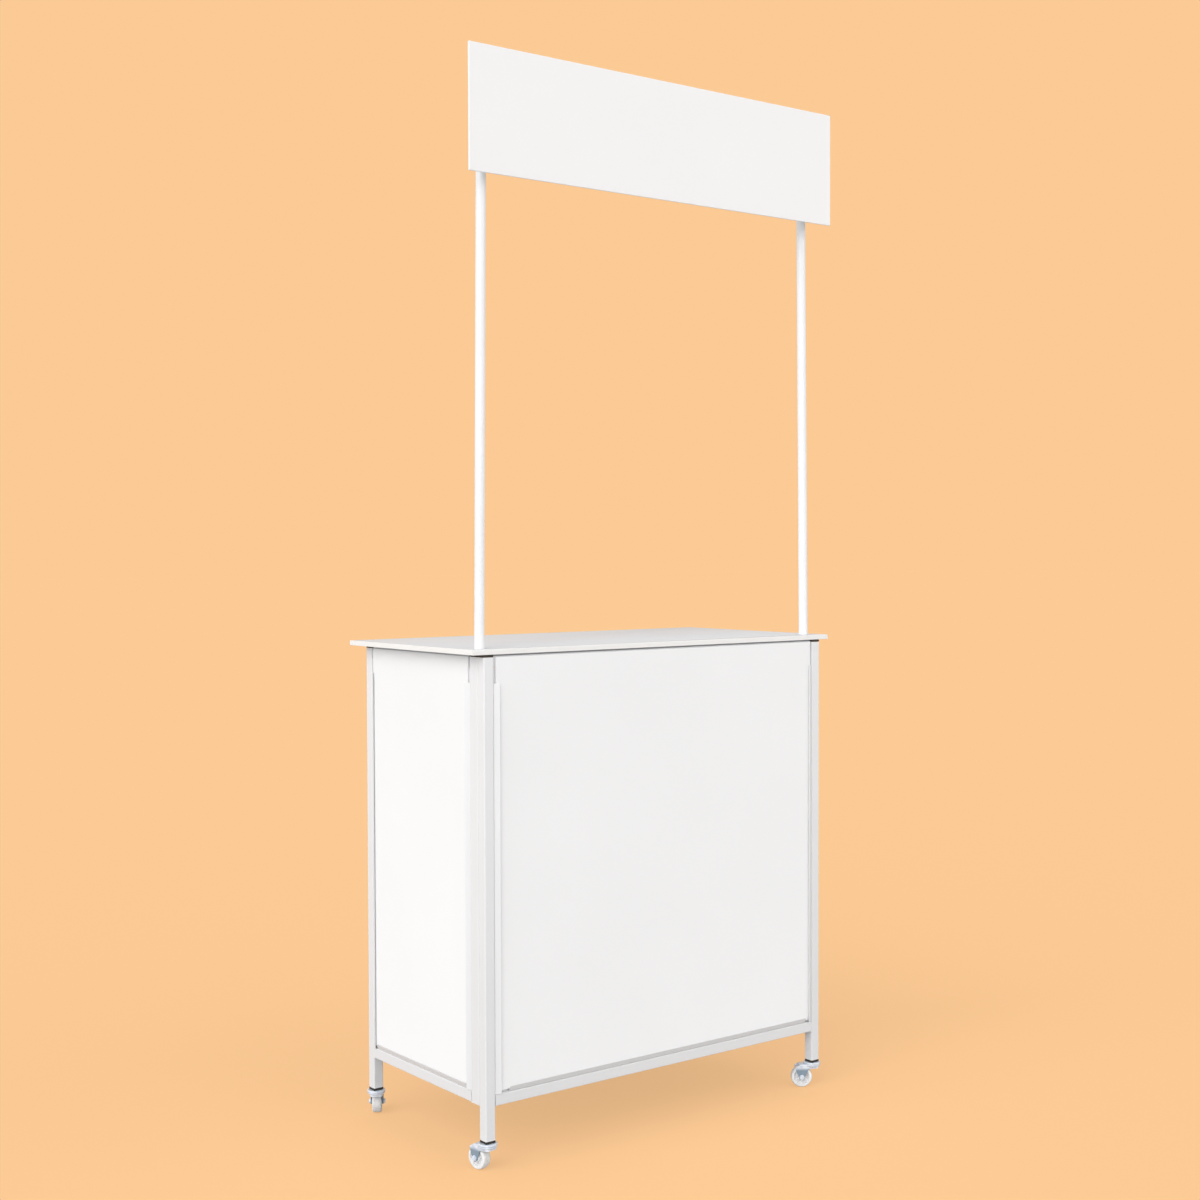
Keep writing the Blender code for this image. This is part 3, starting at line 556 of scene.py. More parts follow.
def panel_channel(node, outer, across, inward):
    """A folded channel in a CAD node's box, from its outer corner on the frame."""
    low, high = corners(node)
    half = CHANNEL_SHEET / 2
    back = [(half, CHANNEL_DEPTH - half), (CHANNEL_LEG, CHANNEL_DEPTH - half)]
    lip = [(LIP_WIDTH - 0.0003, half * 1.1 - LIP_PROUD), (half, LIP_ROOT + half)]
    section = folded_section(lip + back, CHANNEL_SHEET, CHANNEL_BEND)
    bare = folded_section([(half, LIP_ROOT)] + back, CHANNEL_SHEET, CHANNEL_BEND)
    length = max(high - low)
    corner = middle_of(node)
    for axis in range(3):
        if outer[axis]:
            corner[axis] = (high if outer[axis] > 0 else low)[axis]
    corner += Vector(inward) * LIP_PROUD
    strip = swept(f"{node}_strip", section, -length / 2, length / 2)
    stand(strip, corner, across, inward)
    along = list(high - low).index(length)
    runs = [(f"{node}_tail", high.z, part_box("top_front_rail")[0][2] - RUN_CLEAR)]
    if along < 2:
        first, last = BOTTOM_NEIGHBOURS[node]
        runs = [(f"{node}_low_tail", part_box(first)[1][along], low[along]),
                (f"{node}_high_tail", high[along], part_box(last)[0][along])]
    for name, start, stop in runs:
        reach = stop - start - 2 * RUN_GAP
        tail = swept(name, bare, -reach / 2, reach / 2)
        place = Vector(corner)
        place[along] = (start + stop) / 2
        stand(tail, place, across, inward)
        fit_coated(tail)
    fit_coated(strip, node)


panel_channel("front_bottom_channel", (0, -1, -1), (0, 0, 1), (0, 1, 0))
for side, sign in SIDES:
    inward = (-sign, 0, 0)
    panel_channel(f"front_{side}_channel", (sign, -1, 0), (-sign, 0, 0), (0, 1, 0))
    panel_channel(f"{side}_front_channel", (sign, -1, 0), (0, 1, 0), inward)
    panel_channel(f"{side}_rear_channel", (sign, 1, 0), (0, -1, 0), inward)
    panel_channel(f"{side}_bottom_channel", (sign, 0, -1), (0, 0, 1), inward)


# The boards: the three panels, the header and the bottom board are cut from foamed
# plastic sheet. Its skin is satin and very slightly wavy.
BOARD_WHITE = (0.918, 0.921, 0.926)
BOARD_SHADE = (0.902, 0.905, 0.910)
BOARD_EDGE_ROUND = 0.0004


def foam_board(name, light, dark):
    """Satin white sheet with a faint cloud, a fine grain and a shallow wave."""
    return make_finish(
        name, {"Roughness": 0.5, "Specular IOR Level": 0.4}, (dark, light), (3.2, 4.0),
        ((26.0, 4.0), 0.44, 0.58), [((5.0, 1.0), 0.0008), ((1400.0, 2.0), 0.000012)])


FOAM_BOARD = foam_board("foam_board", BOARD_WHITE, BOARD_SHADE)


def plain_box(name, low, high):
    """A box between two corners."""
    low = Vector(low)
    high = Vector(high)
    shape = bmesh.new()
    bmesh.ops.create_cube(shape, size=1.0, matrix=Matrix.Diagonal((*(high - low), 1.0)))
    bmesh.ops.translate(shape, verts=shape.verts, vec=(low + high) / 2)
    mesh = bpy.data.meshes.new(name)
    shape.to_mesh(mesh)
    shape.free()
    return bpy.data.objects.new(name, mesh)


def cut_board(name, low, high, round_edge):
    """A flat board with its arrises eased."""
    board = plain_box(name, low, high)
    board.data.shade_smooth()
    ease = board.modifiers.new("eased", "BEVEL")
    ease.width = round_edge
    ease.segments = 3
    ease.harden_normals = True
    return settle(board)


for node in ("front_panel", "left_panel", "right_panel"):
    low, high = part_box(node)
    fit(cut_board(f"{node}_board", low, high, BOARD_EDGE_ROUND), FOAM_BOARD, "white_board", "counter", node)


# The table top: a 9 mm board faced with light grey laminate, its four edges closed by a
# glued plastic band, drilled at the front corners for the poles.
BAND_THICKNESS = 0.0010
BAND_ROUND = 0.0007
BAND_GLUE = 0.00003
CORE_EDGE_ROUND = 0.00015
SEAL_INSET = 0.0010
SEAL_ROUND = 0.0006
SEAL_GAP = 0.00002
HOLE_SPARE = 0.0006
HOLE_STEPS = 64
TOP_WHITE = (0.692, 0.716, 0.745)
TOP_SHADE = (0.677, 0.701, 0.730)
BAND_WHITE = (0.900, 0.896, 0.884)
# The seal tones: the grey one is partly painted shade, the dark one is painted shade.
SEAL_GREY_AND_SHADE = (0.34, 0.34, 0.35)
SEAL_PAINTED_SHADE = (0.10, 0.10, 0.115)

# The laminate is much greyer than its band, with a faint pebble and wiping haze; the band is a little
# warmer.
LAMINATE = make_finish(
    "laminate", {"Roughness": 0.55, "Specular IOR Level": 0.06}, (TOP_SHADE, TOP_WHITE), (4.0, 3.0),
    ((14.0, 5.0, 0.6), 0.50, 0.62), [((1100.0, 2.0), 0.00002)])
EDGE_BAND = make_finish(
    "edge_band", {"Roughness": 0.4}, (tuple(value * 0.975 for value in BAND_WHITE), BAND_WHITE),
    (35.0, 3.0), None, [((500.0, 2.0), 0.00002)])


def flat_piece(name, outlines, thickness, round_edge, steps=2):
    """A flat outline with any holes, given its thickness and eased edges."""
    curve = bpy.data.curves.new(name, "CURVE")
    curve.dimensions = "2D"
    curve.fill_mode = "BOTH"
    curve.extrude = thickness / 2 - round_edge
    curve.bevel_depth = round_edge
    curve.bevel_resolution = steps
    curve.offset = -round_edge
    for outline in outlines:
        spline = curve.splines.new("POLY")
        spline.points.add(len(outline) - 1)
        for point, (x, y) in zip(spline.points, outline):
            point.co = (x, y, 0.0, 1.0)
        spline.use_cyclic_u = True
    guide = bpy.data.objects.new(name, curve)
    bpy.context.scene.collection.objects.link(guide)
    graph = bpy.context.evaluated_depsgraph_get()
    mesh = bpy.data.meshes.new_from_object(guide.evaluated_get(graph))
    bpy.data.objects.remove(guide, do_unlink=True)
    turn_outwards(mesh, 0.000005)
    mesh.name = name
    return bpy.data.objects.new(name, mesh)


top_low, top_high = corners("table_top")
top_middle = middle_of("table_top")
top_thickness = top_high.z - top_low.z
socket_middles = {side: middle_of(f"{side}_pole_socket") for side in ("left", "right")}
pole_low, pole_high = corners("left_pole")
pole_radius = (pole_high.y - pole_low.y) / 2


def top_outline(out):
    """The top's rectangle, that far outside its box."""
    x = (top_high.x - top_low.x) / 2 + out
    y = (top_high.y - top_low.y) / 2 + out
    return [(top_middle.x + cx, top_middle.y + cy) for cx, cy in ((-x, -y), (x, -y), (x, y), (-x, y))]


core_outlines = [top_outline(-BAND_THICKNESS)]
for middle in socket_middles.values():
    hole = round_loop(pole_radius + HOLE_SPARE, HOLE_STEPS)
    core_outlines.append([(middle.x + x, middle.y + y) for x, y in hole])
core = flat_piece("table_top_core", core_outlines, top_thickness, CORE_EDGE_ROUND, 1)
stand(core, (0.0, 0.0, top_middle.z))
fit(shade(core, radians(50)), LAMINATE, "white_laminate", "counter", "table_top")


def band_ring(name):
    """The edge band as one mitred ring round the board."""
    loops = []
    for offset, lift in corner_loop(BAND_THICKNESS * 2, top_thickness, BAND_ROUND, 4, 0.0001):
        out = min(offset, BAND_THICKNESS) - BAND_THICKNESS
        if offset < 0:
            out = BAND_GLUE - BAND_THICKNESS
        loops.append(at_height(top_outline(out), top_middle.z + lift))
    return skin(name, loops, ring=True)


band = band_ring("table_top_edge_band")
fit(shade(band, radians(40)), EDGE_BAND, "white_laminate", "counter")


def soft_foam(name, colour):
    """Closed-cell foam strip: dull, with small cells."""
    tones = (tuple(value * 0.8 for value in colour), colour)
    return make_finish(
        name, {"Roughness": 0.85}, tones, (1500.0, 2.0), None, [((1500.0, 2.0), 0.00005)])


# The strips under the top darken the gap there: the grey ones at the front and rear are partly a real seal
# and partly painted shade, the darker ones at the sides are painted shade.
SEAL_AND_SHADE_FOAM = soft_foam("seal_foam", SEAL_GREY_AND_SHADE)
PAINTED_SHADE_FOAM = soft_foam("seal_foam_dark", SEAL_PAINTED_SHADE)
for rail, foam in (("front", SEAL_AND_SHADE_FOAM), ("rear", SEAL_AND_SHADE_FOAM), ("left", PAINTED_SHADE_FOAM), ("right", PAINTED_SHADE_FOAM)):
    low, high = corners(f"top_{rail}_rail")
    seal_low = (low.x + SEAL_INSET, low.y + SEAL_ROUND, high.z + SEAL_GAP)
    seal_high = (high.x - SEAL_INSET, high.y - SEAL_ROUND, top_low.z - SEAL_GAP)
    seal = cut_board(f"top_{rail}_seal", seal_low, seal_high, SEAL_ROUND)
    fit(seal, foam, "black_plastic", "counter")


# The plugs: square heads with ribbed hollow bodies, moulded in black plastic. Four
# close the tops of the posts and carry the table top, and four hold the caster stems.
# Two wider ones are the bushes in the sockets, bored out for the poles.
PLUG_HEAD = 0.0040
PLUG_EDGE = 0.0006
PLUG_PLAY = 0.0006
PLUG_CORNER = 0.0014
RIB_COUNT = 5
RIB_DEPTH = 0.0006
STEM_BORE = 0.0043
POLE_PLAY = 0.0003
MOULDED_BLACK = (0.016, 0.016, 0.017)
DUSTY_BLACK = (0.035, 0.034, 0.032)

# Black moulded plastic with a fine spark texture and patches of dust.
MOULDED_BLACK_FINISH = make_finish(
    "moulded_black", {"Roughness": 0.5}, (MOULDED_BLACK, DUSTY_BLACK), (160.0, 4.0),
    ((160.0, 4.0), 0.42, 0.6), [((2600.0, 1.0), 0.00002)], (0.45, 0.8))


def tube_plug(node, outwards, wall, bore_radius):
    """One plug in a CAD node's box; outwards is 1 for a head on top, -1 for below."""
    low, high = corners(node)
    size = high.x - low.x
    body = size - 2 * wall - PLUG_PLAY
    valley = body - 2 * RIB_DEPTH
    length = high.z - low.z
    head_end = length - PLUG_HEAD
    heights = [(size - 2 * PLUG_EDGE, length), (size - 0.0003, length - PLUG_EDGE * 0.3)]
    heights += [(size, length - PLUG_EDGE), (size, head_end), (valley, head_end)]
    pitch = head_end / (RIB_COUNT + 1)
    for rib in range(RIB_COUNT):
        level = head_end - pitch * (rib + 0.7)
        heights += [(valley, level), (body, level - pitch * 0.12)]
        heights += [(body, level - pitch * 0.3), (valley, level - pitch * 0.55)]
    heights.append((valley - 0.0004, 0.0))
    loops = [at_height(corner_loop(width, width, PLUG_CORNER), height) for width, height in heights]
    turns = [atan2(y, x) for x, y in corner_loop(size, size, PLUG_CORNER)]
    bore = [(bore_radius * cos(turn), bore_radius * sin(turn)) for turn in turns]
    loops += [at_height(bore, 0.0), at_height(bore, length)]
    plug = skin(f"{node}_moulding", loops, ring=True)
    foot = middle_of(node)
    foot.z = (low if outwards > 0 else high).z
    stand(plug, foot, (1, 0, 0), (0, outwards, 0))
    fit(shade(plug), MOULDED_BLACK_FINISH, "black_plastic", "counter", node)


CORNERS = [f"{end}_{side}" for end in ("front", "rear") for side in ("left", "right")]
for corner in CORNERS:
    tube_plug(f"{corner}_top_plug", 1, TUBE_WALL, STEM_BORE)
    tube_plug(f"{corner}_caster_plug", -1, TUBE_WALL, STEM_BORE)
for side in ("left", "right"):
    tube_plug(f"{side}_pole_bush", 1, SOCKET_WALL, pole_radius + POLE_PLAY)


# The middle shelf: a tray folded from steel sheet, painted with the frame. It is notched
# round the sockets, rests there on two small angle cleats, and is screwed down to them
# and through its end flanges to the rear posts.
SHELF_SHEET = 0.0012
SHELF_BEND = 0.0022
SCREW_RADIUS = 0.0042
SCREW_RISE = 0.0020
SCREW_SINK = 0.0006
NOTCH_SPARE = 0.0003
CUT_SPARE = 0.1
CLEAT_LEG = 0.016
CLEAT_SHEET = 0.0015
CLEAT_BEND = 0.0012
CLEAT_WIDTH = 0.018
# The zinc's blue cast is partly the plating's own colour and partly a painted reflection.
ZINC_LIGHT = (0.78, 0.85, 0.94)
ZINC_DARK = (0.58, 0.66, 0.78)


def zinc_plate(name, layers=()):
    """Bright zinc over pressed steel: cloudy, and a little dull in places."""
    return make_finish(
        name, {"Roughness": 0.35, "Metallic": 0.12}, (ZINC_DARK, ZINC_LIGHT), (120.0, 4.0),
        ((320.0, 4.0), 0.26, 0.44), [((1800.0, 2.0), 0.000012)], layers=layers)


ZINC_PLATE = zinc_plate("zinc_plate")


def joined(piece, tool, operation):
    """Cut or join a mesh by another, and drop the other."""
    bpy.context.scene.collection.objects.link(tool)
    step = piece.modifiers.new(operation.lower(), "BOOLEAN")
    step.operation = operation
    step.solver = "EXACT"
    step.object = tool
    settle(piece)
    bpy.data.objects.remove(tool, do_unlink=True)
    return piece


def folded_tray(node):
    """The tray: one sheet with its four flanges folded down, notched at the sockets."""
    low, high = corners(node)
    tray = plain_box(f"{node}_tray", low, high)
    shape = bmesh.new()
    shape.from_mesh(tray.data)
    under = [face for face in shape.faces if face.normal.z < -0.5]
    bmesh.ops.delete(shape, geom=under, context="FACES_ONLY")
    folds = [edge for edge in shape.edges if len(edge.link_faces) == 2]
    bmesh.ops.bevel(
        shape, geom=folds, offset=SHELF_BEND, segments=4, profile=0.5, affect="EDGES",
        clamp_overlap=True)
    shape.to_mesh(tray.data)
    shape.free()
    wall = tray.modifiers.new("sheet", "SOLIDIFY")
    wall.thickness = SHELF_SHEET
    wall.offset = -1.0
    wall.use_even_offset = True
    settle(tray)
    for side, sign in SIDES:
        socket_low, socket_high = corners(f"{side}_pole_socket")
        inner_face = socket_low.x if sign > 0 else socket_high.x
        xs = sorted((inner_face - sign * NOTCH_SPARE, inner_face + sign * CUT_SPARE))
        notch_low = (xs[0], low.y - CUT_SPARE, low.z - CUT_SPARE)
        notch = plain_box("notch", notch_low, (xs[1], socket_high.y + NOTCH_SPARE, high.z + CUT_SPARE))
        joined(tray, notch, "DIFFERENCE")
    return tray


fit(shade(folded_tray("middle_shelf"), radians(40)), POWDER_COAT, "white_paint", "counter", "middle_shelf")


def screw_head():
    """A pan head with a cross recess, standing on its own seat at the origin."""
    profile = []
    for step in range(6):
        turn = pi / 2 * step / 5
        profile.append((SCREW_RADIUS * cos(turn * 0.82), SCREW_RISE * sin(turn)))
    loops = [at_height(round_loop(SCREW_RADIUS, 24), -SCREW_SINK)]
    loops += [at_height(round_loop(radius, 24), height) for radius, height in profile]
    head = skin("screw_head", loops)
    blade = Vector((SCREW_RADIUS * 0.62, SCREW_RADIUS * 0.13, SCREW_RISE * 0.55))
    for across in (blade, Vector((blade.y, blade.x, blade.z))):
        tool = plain_box("screw_blade", -across, across)
        tool.data.transform(Matrix.Translation((0.0, 0.0, SCREW_RISE)))
        joined(head, tool, "DIFFERENCE")
    return shade(head, radians(40))


# One fastener on each point, along the way the point aims, turned at random.
FASTENER_TREE = node_tree(
    "set_fasteners",
    [("Places", "Geometry"), ("Fastener", "Object"), ("Size", "Float"), ("Seed", "Int")], "Fasteners",
    {
        "info": ("GeometryNodeObjectInfo",),
        "placed": ("GeometryNodeInstanceOnPoints",),
        "aim": ("GeometryNodeInputNamedAttribute", {"data_type": "FLOAT_VECTOR"}, {"Name": "aim"}),
        "upright": ("FunctionNodeAlignRotationToVector", {"axis": "Z"}),
        "turns": ("FunctionNodeRandomValue", {"data_type": "FLOAT_VECTOR"}, {"Max": (0.0, 0.0, 2 * pi)}),
        "spun": ("FunctionNodeRotateRotation", {"rotation_space": "LOCAL"}),
    },
    ["given.Fastener > info.Object", "info.Geometry > placed.Instance", "given.Places > placed.Points",
     "given.Size > placed.Scale", "given.Seed > turns.Seed", "aim.Attribute > upright.Vector",
     "upright.Rotation > spun.Rotation", "turns.Value > spun.Rotate By",
     "spun.Rotation > placed.Rotation", "solid.Geometry > coated.Geometry"])


def set_screws(name, places, size, seed):
    """Zinc pan heads at (point, aim) places, as one piece of the counter."""
    mesh = bpy.data.meshes.new(name)
    mesh.from_pydata([point for point, aim in places], [], [])
    aims = mesh.attributes.new("aim", "FLOAT_VECTOR", "POINT")
    for i, (point, aim) in enumerate(places):
        aims.data[i].vector = aim
    guide = bpy.data.objects.new(name, mesh)
    grow(guide, FASTENER_TREE, pan_head, size, seed, ZINC_PLATE)
    fit(guide, ZINC_PLATE, "zinc", "counter")


shelf_low, shelf_high = corners("middle_shelf")
pan_head = screw_head()
bpy.context.scene.collection.objects.link(pan_head)
shelf_screws = []
flange_middle = (shelf_low.z + shelf_high.z) / 2 - 0.001
shelf_underside = shelf_high.z - SHELF_SHEET
for side, sign in SIDES:
    flange = (shelf_high.x if sign > 0 else shelf_low.x) - sign * SHELF_SHEET
    shelf_screws.append(((flange, middle_of(f"rear_{side}_post").y, flange_middle), (-sign, 0, 0)))
    low, high = corners(f"{side}_pole_socket")
    face = low.x if sign > 0 else high.x
    middle = socket_middles[side].y
    shelf_screws.append(((face - sign * CLEAT_LEG * 0.62, middle, shelf_high.z), (0, 0, 1)))
    half = CLEAT_SHEET / 2
    bend = [(half, CLEAT_LEG), (half, half), (CLEAT_LEG, half)]
    section = folded_section(bend, CLEAT_SHEET, CLEAT_BEND)
    cleat = swept(f"{side}_shelf_cleat", section, -CLEAT_WIDTH / 2, CLEAT_WIDTH / 2)
    stand(cleat, (face, middle, shelf_underside - 0.00003), (-sign, 0, 0), (0, 0, -1))
    fit_coated(cleat)
set_screws("shelf_screws", shelf_screws, 1.0, 3)


# The bottom board: the same foamed sheet, notched round the posts and sockets, laid on
# the bottom rails and held by screws along the front and the back.
BOARD_SCREW_INSET = 0.0095
BOARD_SCREWS = (-0.36, -0.12, 0.12, 0.36)


def notched_board(node):
    """The board's outline follows the boxes of what it is notched round."""
    low, high = corners(node)
    socket_low, socket_high = corners("right_pole_socket")
    post_low = corners("rear_right_post")[0]
    front_post_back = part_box("front_right_post")[1][1]
    at_post = post_low.x - NOTCH_SPARE
    at_socket = socket_low.x - NOTCH_SPARE
    behind_socket = socket_high.y + NOTCH_SPARE
    right = [(at_post, low.y), (at_post, front_post_back), (at_socket, front_post_back)]
    right += [(at_socket, behind_socket), (high.x, behind_socket)]
    right += [(high.x, post_low.y - NOTCH_SPARE), (at_post, post_low.y - NOTCH_SPARE), (at_post, high.y)]
    outline = right + [(-x, y) for x, y in reversed(right)]
    board = flat_piece(f"{node}_sheet", [outline], high.z - low.z, 0.0004, 2)
    return stand(board, (0.0, 0.0, (low.z + high.z) / 2))


fit(shade(notched_board("bottom_board"), radians(50)), FOAM_BOARD, "white_board", "counter", "bottom_board")
board_low, board_high = corners("bottom_board")
board_screws = []
for x in BOARD_SCREWS:
    board_screws.append(((x, board_low.y + BOARD_SCREW_INSET * 0.55, board_high.z), (0, 0, 1)))
    board_screws.append(((x, board_high.y - BOARD_SCREW_INSET, board_high.z), (0, 0, 1)))
set_screws("bottom_board_screws", board_screws, 0.85, 8)


# The poles: round steel tube, painted white, open below where they stand on their
# stops, and closed above by small domed caps. They lean in a little to the header.
POLE_WALL = 0.0010
POLE_SIDES = 56
LEAN_START = 0.905
BEND_SPAN = 0.030
POLE_MOUTH = 0.0006
POLE_CHAMFER = 0.0004
CAP_RISE = 0.0022
CAP_EDGE = 0.0008
POLE_WHITE = (0.890, 0.894, 0.906)
POLE_SHADE = (0.872, 0.876, 0.888)
POLE_PAINT = powder_coat("pole_paint", POLE_WHITE, POLE_SHADE, POLE_SHADE)


def pole_lean(side):
    """How far one pole leans inwards for each metre above the table top."""
    low, high = corners(f"{side}_pole")
    shift = (high.x - low.x) - (high.y - low.y)
    return shift / (high.z - LEAN_START)


def pole_centre(side, height):
    """The middle of a pole at a height, with the bend eased."""
    sign = 1 if side == "right" else -1
    rise = height - LEAN_START
    if rise <= -BEND_SPAN:
        eased = 0.0
    elif rise < BEND_SPAN:
        eased = (rise + BEND_SPAN) ** 2 / (4 * BEND_SPAN)
    else:
        eased = rise
    middle = socket_middles[side]
    return Vector((middle.x - sign * eased * pole_lean(side), middle.y, height))


def pole_ring(centre, radius):
    """A circle round a pole's middle line."""
    return [(centre.x + x, centre.y + y, centre.z) for x, y in round_loop(radius, POLE_SIDES)]


def pole_tube(side):
    """One pole: an outer and an inner skin along its middle line."""
    low, high = corners(f"{side}_pole")
    steps = [LEAN_START + BEND_SPAN * (i / 4 - 1) for i in range(9)]
    heights = [low.z, low.z + POLE_MOUTH] + steps + [high.z - POLE_MOUTH, high.z]
    loops = []
    for height in heights:
        radius = pole_radius - (POLE_CHAMFER if height in (low.z, high.z) else 0.0)
        loops.append(pole_ring(pole_centre(side, height), radius))
    for height in reversed(heights):
        loops.append(pole_ring(pole_centre(side, height), pole_radius - POLE_WALL))
    return skin(f"{side}_pole_tube", loops, ring=True)


def pole_cap(side):
    """A thin domed cap pressed into the pole's upper end."""
    centre = pole_centre(side, corners(f"{side}_pole")[1].z)
    inside = pole_radius - POLE_WALL - 0.0001
    profile = [(inside - 0.0008, -0.009), (inside, -0.008), (inside, 0.00005)]
    profile += [(pole_radius, 0.00005), (pole_radius, CAP_EDGE)]
    for step in range(1, 7):
        turn = pi / 2 * step / 6
        rise = CAP_EDGE + (CAP_RISE - CAP_EDGE) * sin(turn)
        profile.append((max(0.0006, pole_radius * cos(turn)), rise))
    loops = [pole_ring(centre + Vector((0.0, 0.0, rise)), radius) for radius, rise in profile]
    return skin(f"{side}_pole_cap", loops)


# White moulded plastic, slightly glossy, with a faint flow haze.
MOULDED_WHITE = make_finish(
    "moulded_white", {"Roughness": 0.35}, ((0.79, 0.79, 0.78), (0.84, 0.84, 0.83)), (90.0, 3.0),
    ((90.0, 3.0), 0.28, 0.42), [((1600.0, 1.0), 0.00001)])
for side in ("left", "right"):
    fit(shade(pole_tube(side)), POLE_PAINT, "white_paint", "header", f"{side}_pole")
    fit(shade(pole_cap(side), radians(50)), MOULDED_WHITE, "white_plastic", "header")


# The header: one plain board of the same foamed sheet, its finish a lighter copy of the
# other boards', stuck to two long plastic clips that snap round the poles from the front.
CLIP_WALL = 0.0022
CLIP_SPARE = 0.0003
CLIP_BASE = 0.0028
CLIP_BASE_WIDTH = 0.030
CLIP_WEB = 0.005
CLIP_MOUTH = radians(96)
CLIP_LENGTH = 0.130
CLIP_EASE = 0.0003
TAPE_INSET = 0.0010
TAPE_GAP = 0.00002
TAPE_ROUND = 0.00005
TAPE_GREY = (0.62, 0.62, 0.60)
HEADER_WHITE = (0.930, 0.930, 0.932)
HEADER_SHADE = (0.918, 0.918, 0.921)

HEADER_SHEET = foam_board("header_sheet", HEADER_WHITE, HEADER_SHADE)
low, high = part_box("header_board")
header = cut_board("header_board_sheet", low, high, BOARD_EDGE_ROUND)
fit(header, HEADER_SHEET, "white_board", "header", "header_board")
header_back = high[1]


def arc_points(centre, radius, start, stop, steps):
    """Points along an arc, both ends included."""
    turns = [start + (stop - start) * step / steps for step in range(steps + 1)]
    return [(centre[0] + radius * cos(a), centre[1] + radius * sin(a)) for a in turns]


def clip_outline(reach):
    """The clip from above: base, web and an open ring with rolled tips."""
    bore = pole_radius + CLIP_SPARE
    outer = bore + CLIP_WALL
    ring = (0.0, reach)
    right_tip = pi / 2 - CLIP_MOUTH / 2
    left_tip = -3 * pi / 2 + CLIP_MOUTH / 2
    meet = CLIP_WEB / 2 / outer
    half = CLIP_BASE_WIDTH / 2
    points = [(-CLIP_WEB / 2, CLIP_BASE), (-half, CLIP_BASE), (-half, 0.0), (half, 0.0)]
    points += [(half, CLIP_BASE), (CLIP_WEB / 2, CLIP_BASE)]
    points += arc_points(ring, outer, -pi / 2 + meet, right_tip, 30)
    points += arc_points(ring, bore, right_tip, left_tip, 60)
    points += arc_points(ring, outer, left_tip, -pi / 2 - meet, 30)
    return points


FOAM_TAPE = soft_foam("foam_tape", TAPE_GREY)
for side, sign in SIDES:
    node = f"{side}_header_clip"
    seat = middle_of(node)
    seat.y = corners(node)[0].y
    slope = sign * pole_lean(side)
    outline = clip_outline(socket_middles[side].y - seat.y)
    clip = flat_piece(f"{node}_moulding", [outline], CLIP_LENGTH, CLIP_EASE, 2)
    stand(clip, seat, (1, 0, slope))
    fit(shade(clip, radians(40)), MOULDED_WHITE, "white_plastic", "header", node)
    half = (CLIP_BASE_WIDTH / 2 - TAPE_INSET, CLIP_LENGTH / 2 - TAPE_INSET)
    pad_low = (-half[0], header_back - seat.y + TAPE_GAP, -half[1])
    pad = cut_board(f"{node}_tape", pad_low, (half[0], -TAPE_GAP, half[1]), TAPE_ROUND)
    stand(pad, seat, (1, 0, slope))
    fit(pad, FOAM_TAPE, "white_plastic", "header")


# The casters: a stem with a pressed cap over the ball race, a fork pressed from steel
# sheet and riveted up to it, a bolt for an axle, and a moulded white nylon wheel.
CASTER_SIDES = 64
TRAIL = 0.021
WHEEL_RADIUS = 0.021
WHEEL_RIBS = 8
NUT_RADIUS = 0.0047
NUT_HEIGHT = 0.0026
CAP_GROOVE = 0.0004
NYLON_WHITE = (0.868, 0.872, 0.880)
NYLON_GRIME = (0.55, 0.53, 0.49)
# The fork's lower part is painted darker: a painted reflection of the dark floor and wheel, and painted
# shade.
FORK_PAINTED_REFLECTION = (0.23, 0.32, 0.41)
FORK_PLATE = zinc_plate("fork_plate", [(by_height(1.0, 0.0, 0.0345, 0.0400), FORK_PAINTED_REFLECTION)])
stem_low, stem_high = corners("front_left_caster_stem")
fork_high = corners("front_left_caster_fork")[1]
CAP_RADIUS = (stem_high.x - stem_low.x) / 2
CROWN_TOP = fork_high.z
CROWN_BOTTOM = CROWN_TOP - 0.0035
CAP_BOTTOM = CROWN_TOP + 0.0004
CAP_TOP = CAP_BOTTOM + 0.0034


def turn_profile(name, profile, steps=CASTER_SIDES):
    """Turn a closed profile of (radius, height) about Z."""
    loops = [at_height(round_loop(max(radius, 0.00002), steps), height) for radius, height in profile]
    return skin(name, loops, ring=profile[0][0] > 0.0)


def caster_stem(corner):
    """Stem, cap and kingpin: pressed ridges on the cap, thread rings on the stem."""
    edge = 0.0012
    rivet_top = CROWN_BOTTOM - 0.0003
    rivet_low = rivet_top - 0.0018
    profile = [(0.0, stem_high.z), (0.0030, stem_high.z)]
    thread = stem_high.z - 0.001
    while thread > CAP_TOP + 0.006:
        profile += [(0.0039, thread), (0.0034, thread - 0.0006)]
        thread -= 0.00125
    profile += [(0.0040, thread), (0.0040, CAP_TOP + 0.0001), (0.0085, CAP_TOP)]
    profile += [(0.0092, CAP_TOP - CAP_GROOVE), (0.0125, CAP_TOP - CAP_GROOVE), (0.0132, CAP_TOP)]
    profile += arc_points((CAP_RADIUS - edge, CAP_TOP - edge), edge, pi / 2, 0.0, 6)
    profile += [(CAP_RADIUS, CAP_BOTTOM + 0.0002), (CAP_RADIUS - 0.0002, CAP_BOTTOM)]
    profile += [(0.0040, CAP_BOTTOM), (0.0040, rivet_top), (0.0065, rivet_top)]
    profile += arc_points((0.0055, rivet_low + 0.0010), 0.0010, 0.0, -pi / 2, 4)
    profile += [(0.0, rivet_low)]
    stem = turn_profile(f"{corner}_caster_stem_and_cap", profile)
    pivot = middle_of(f"{corner}_caster_stem")
    pivot.z = 0.0
    stand(stem, pivot)
    fit(shade(stem, radians(38)), ZINC_PLATE, "zinc", "counter", f"{corner}_caster_stem")
    return pivot


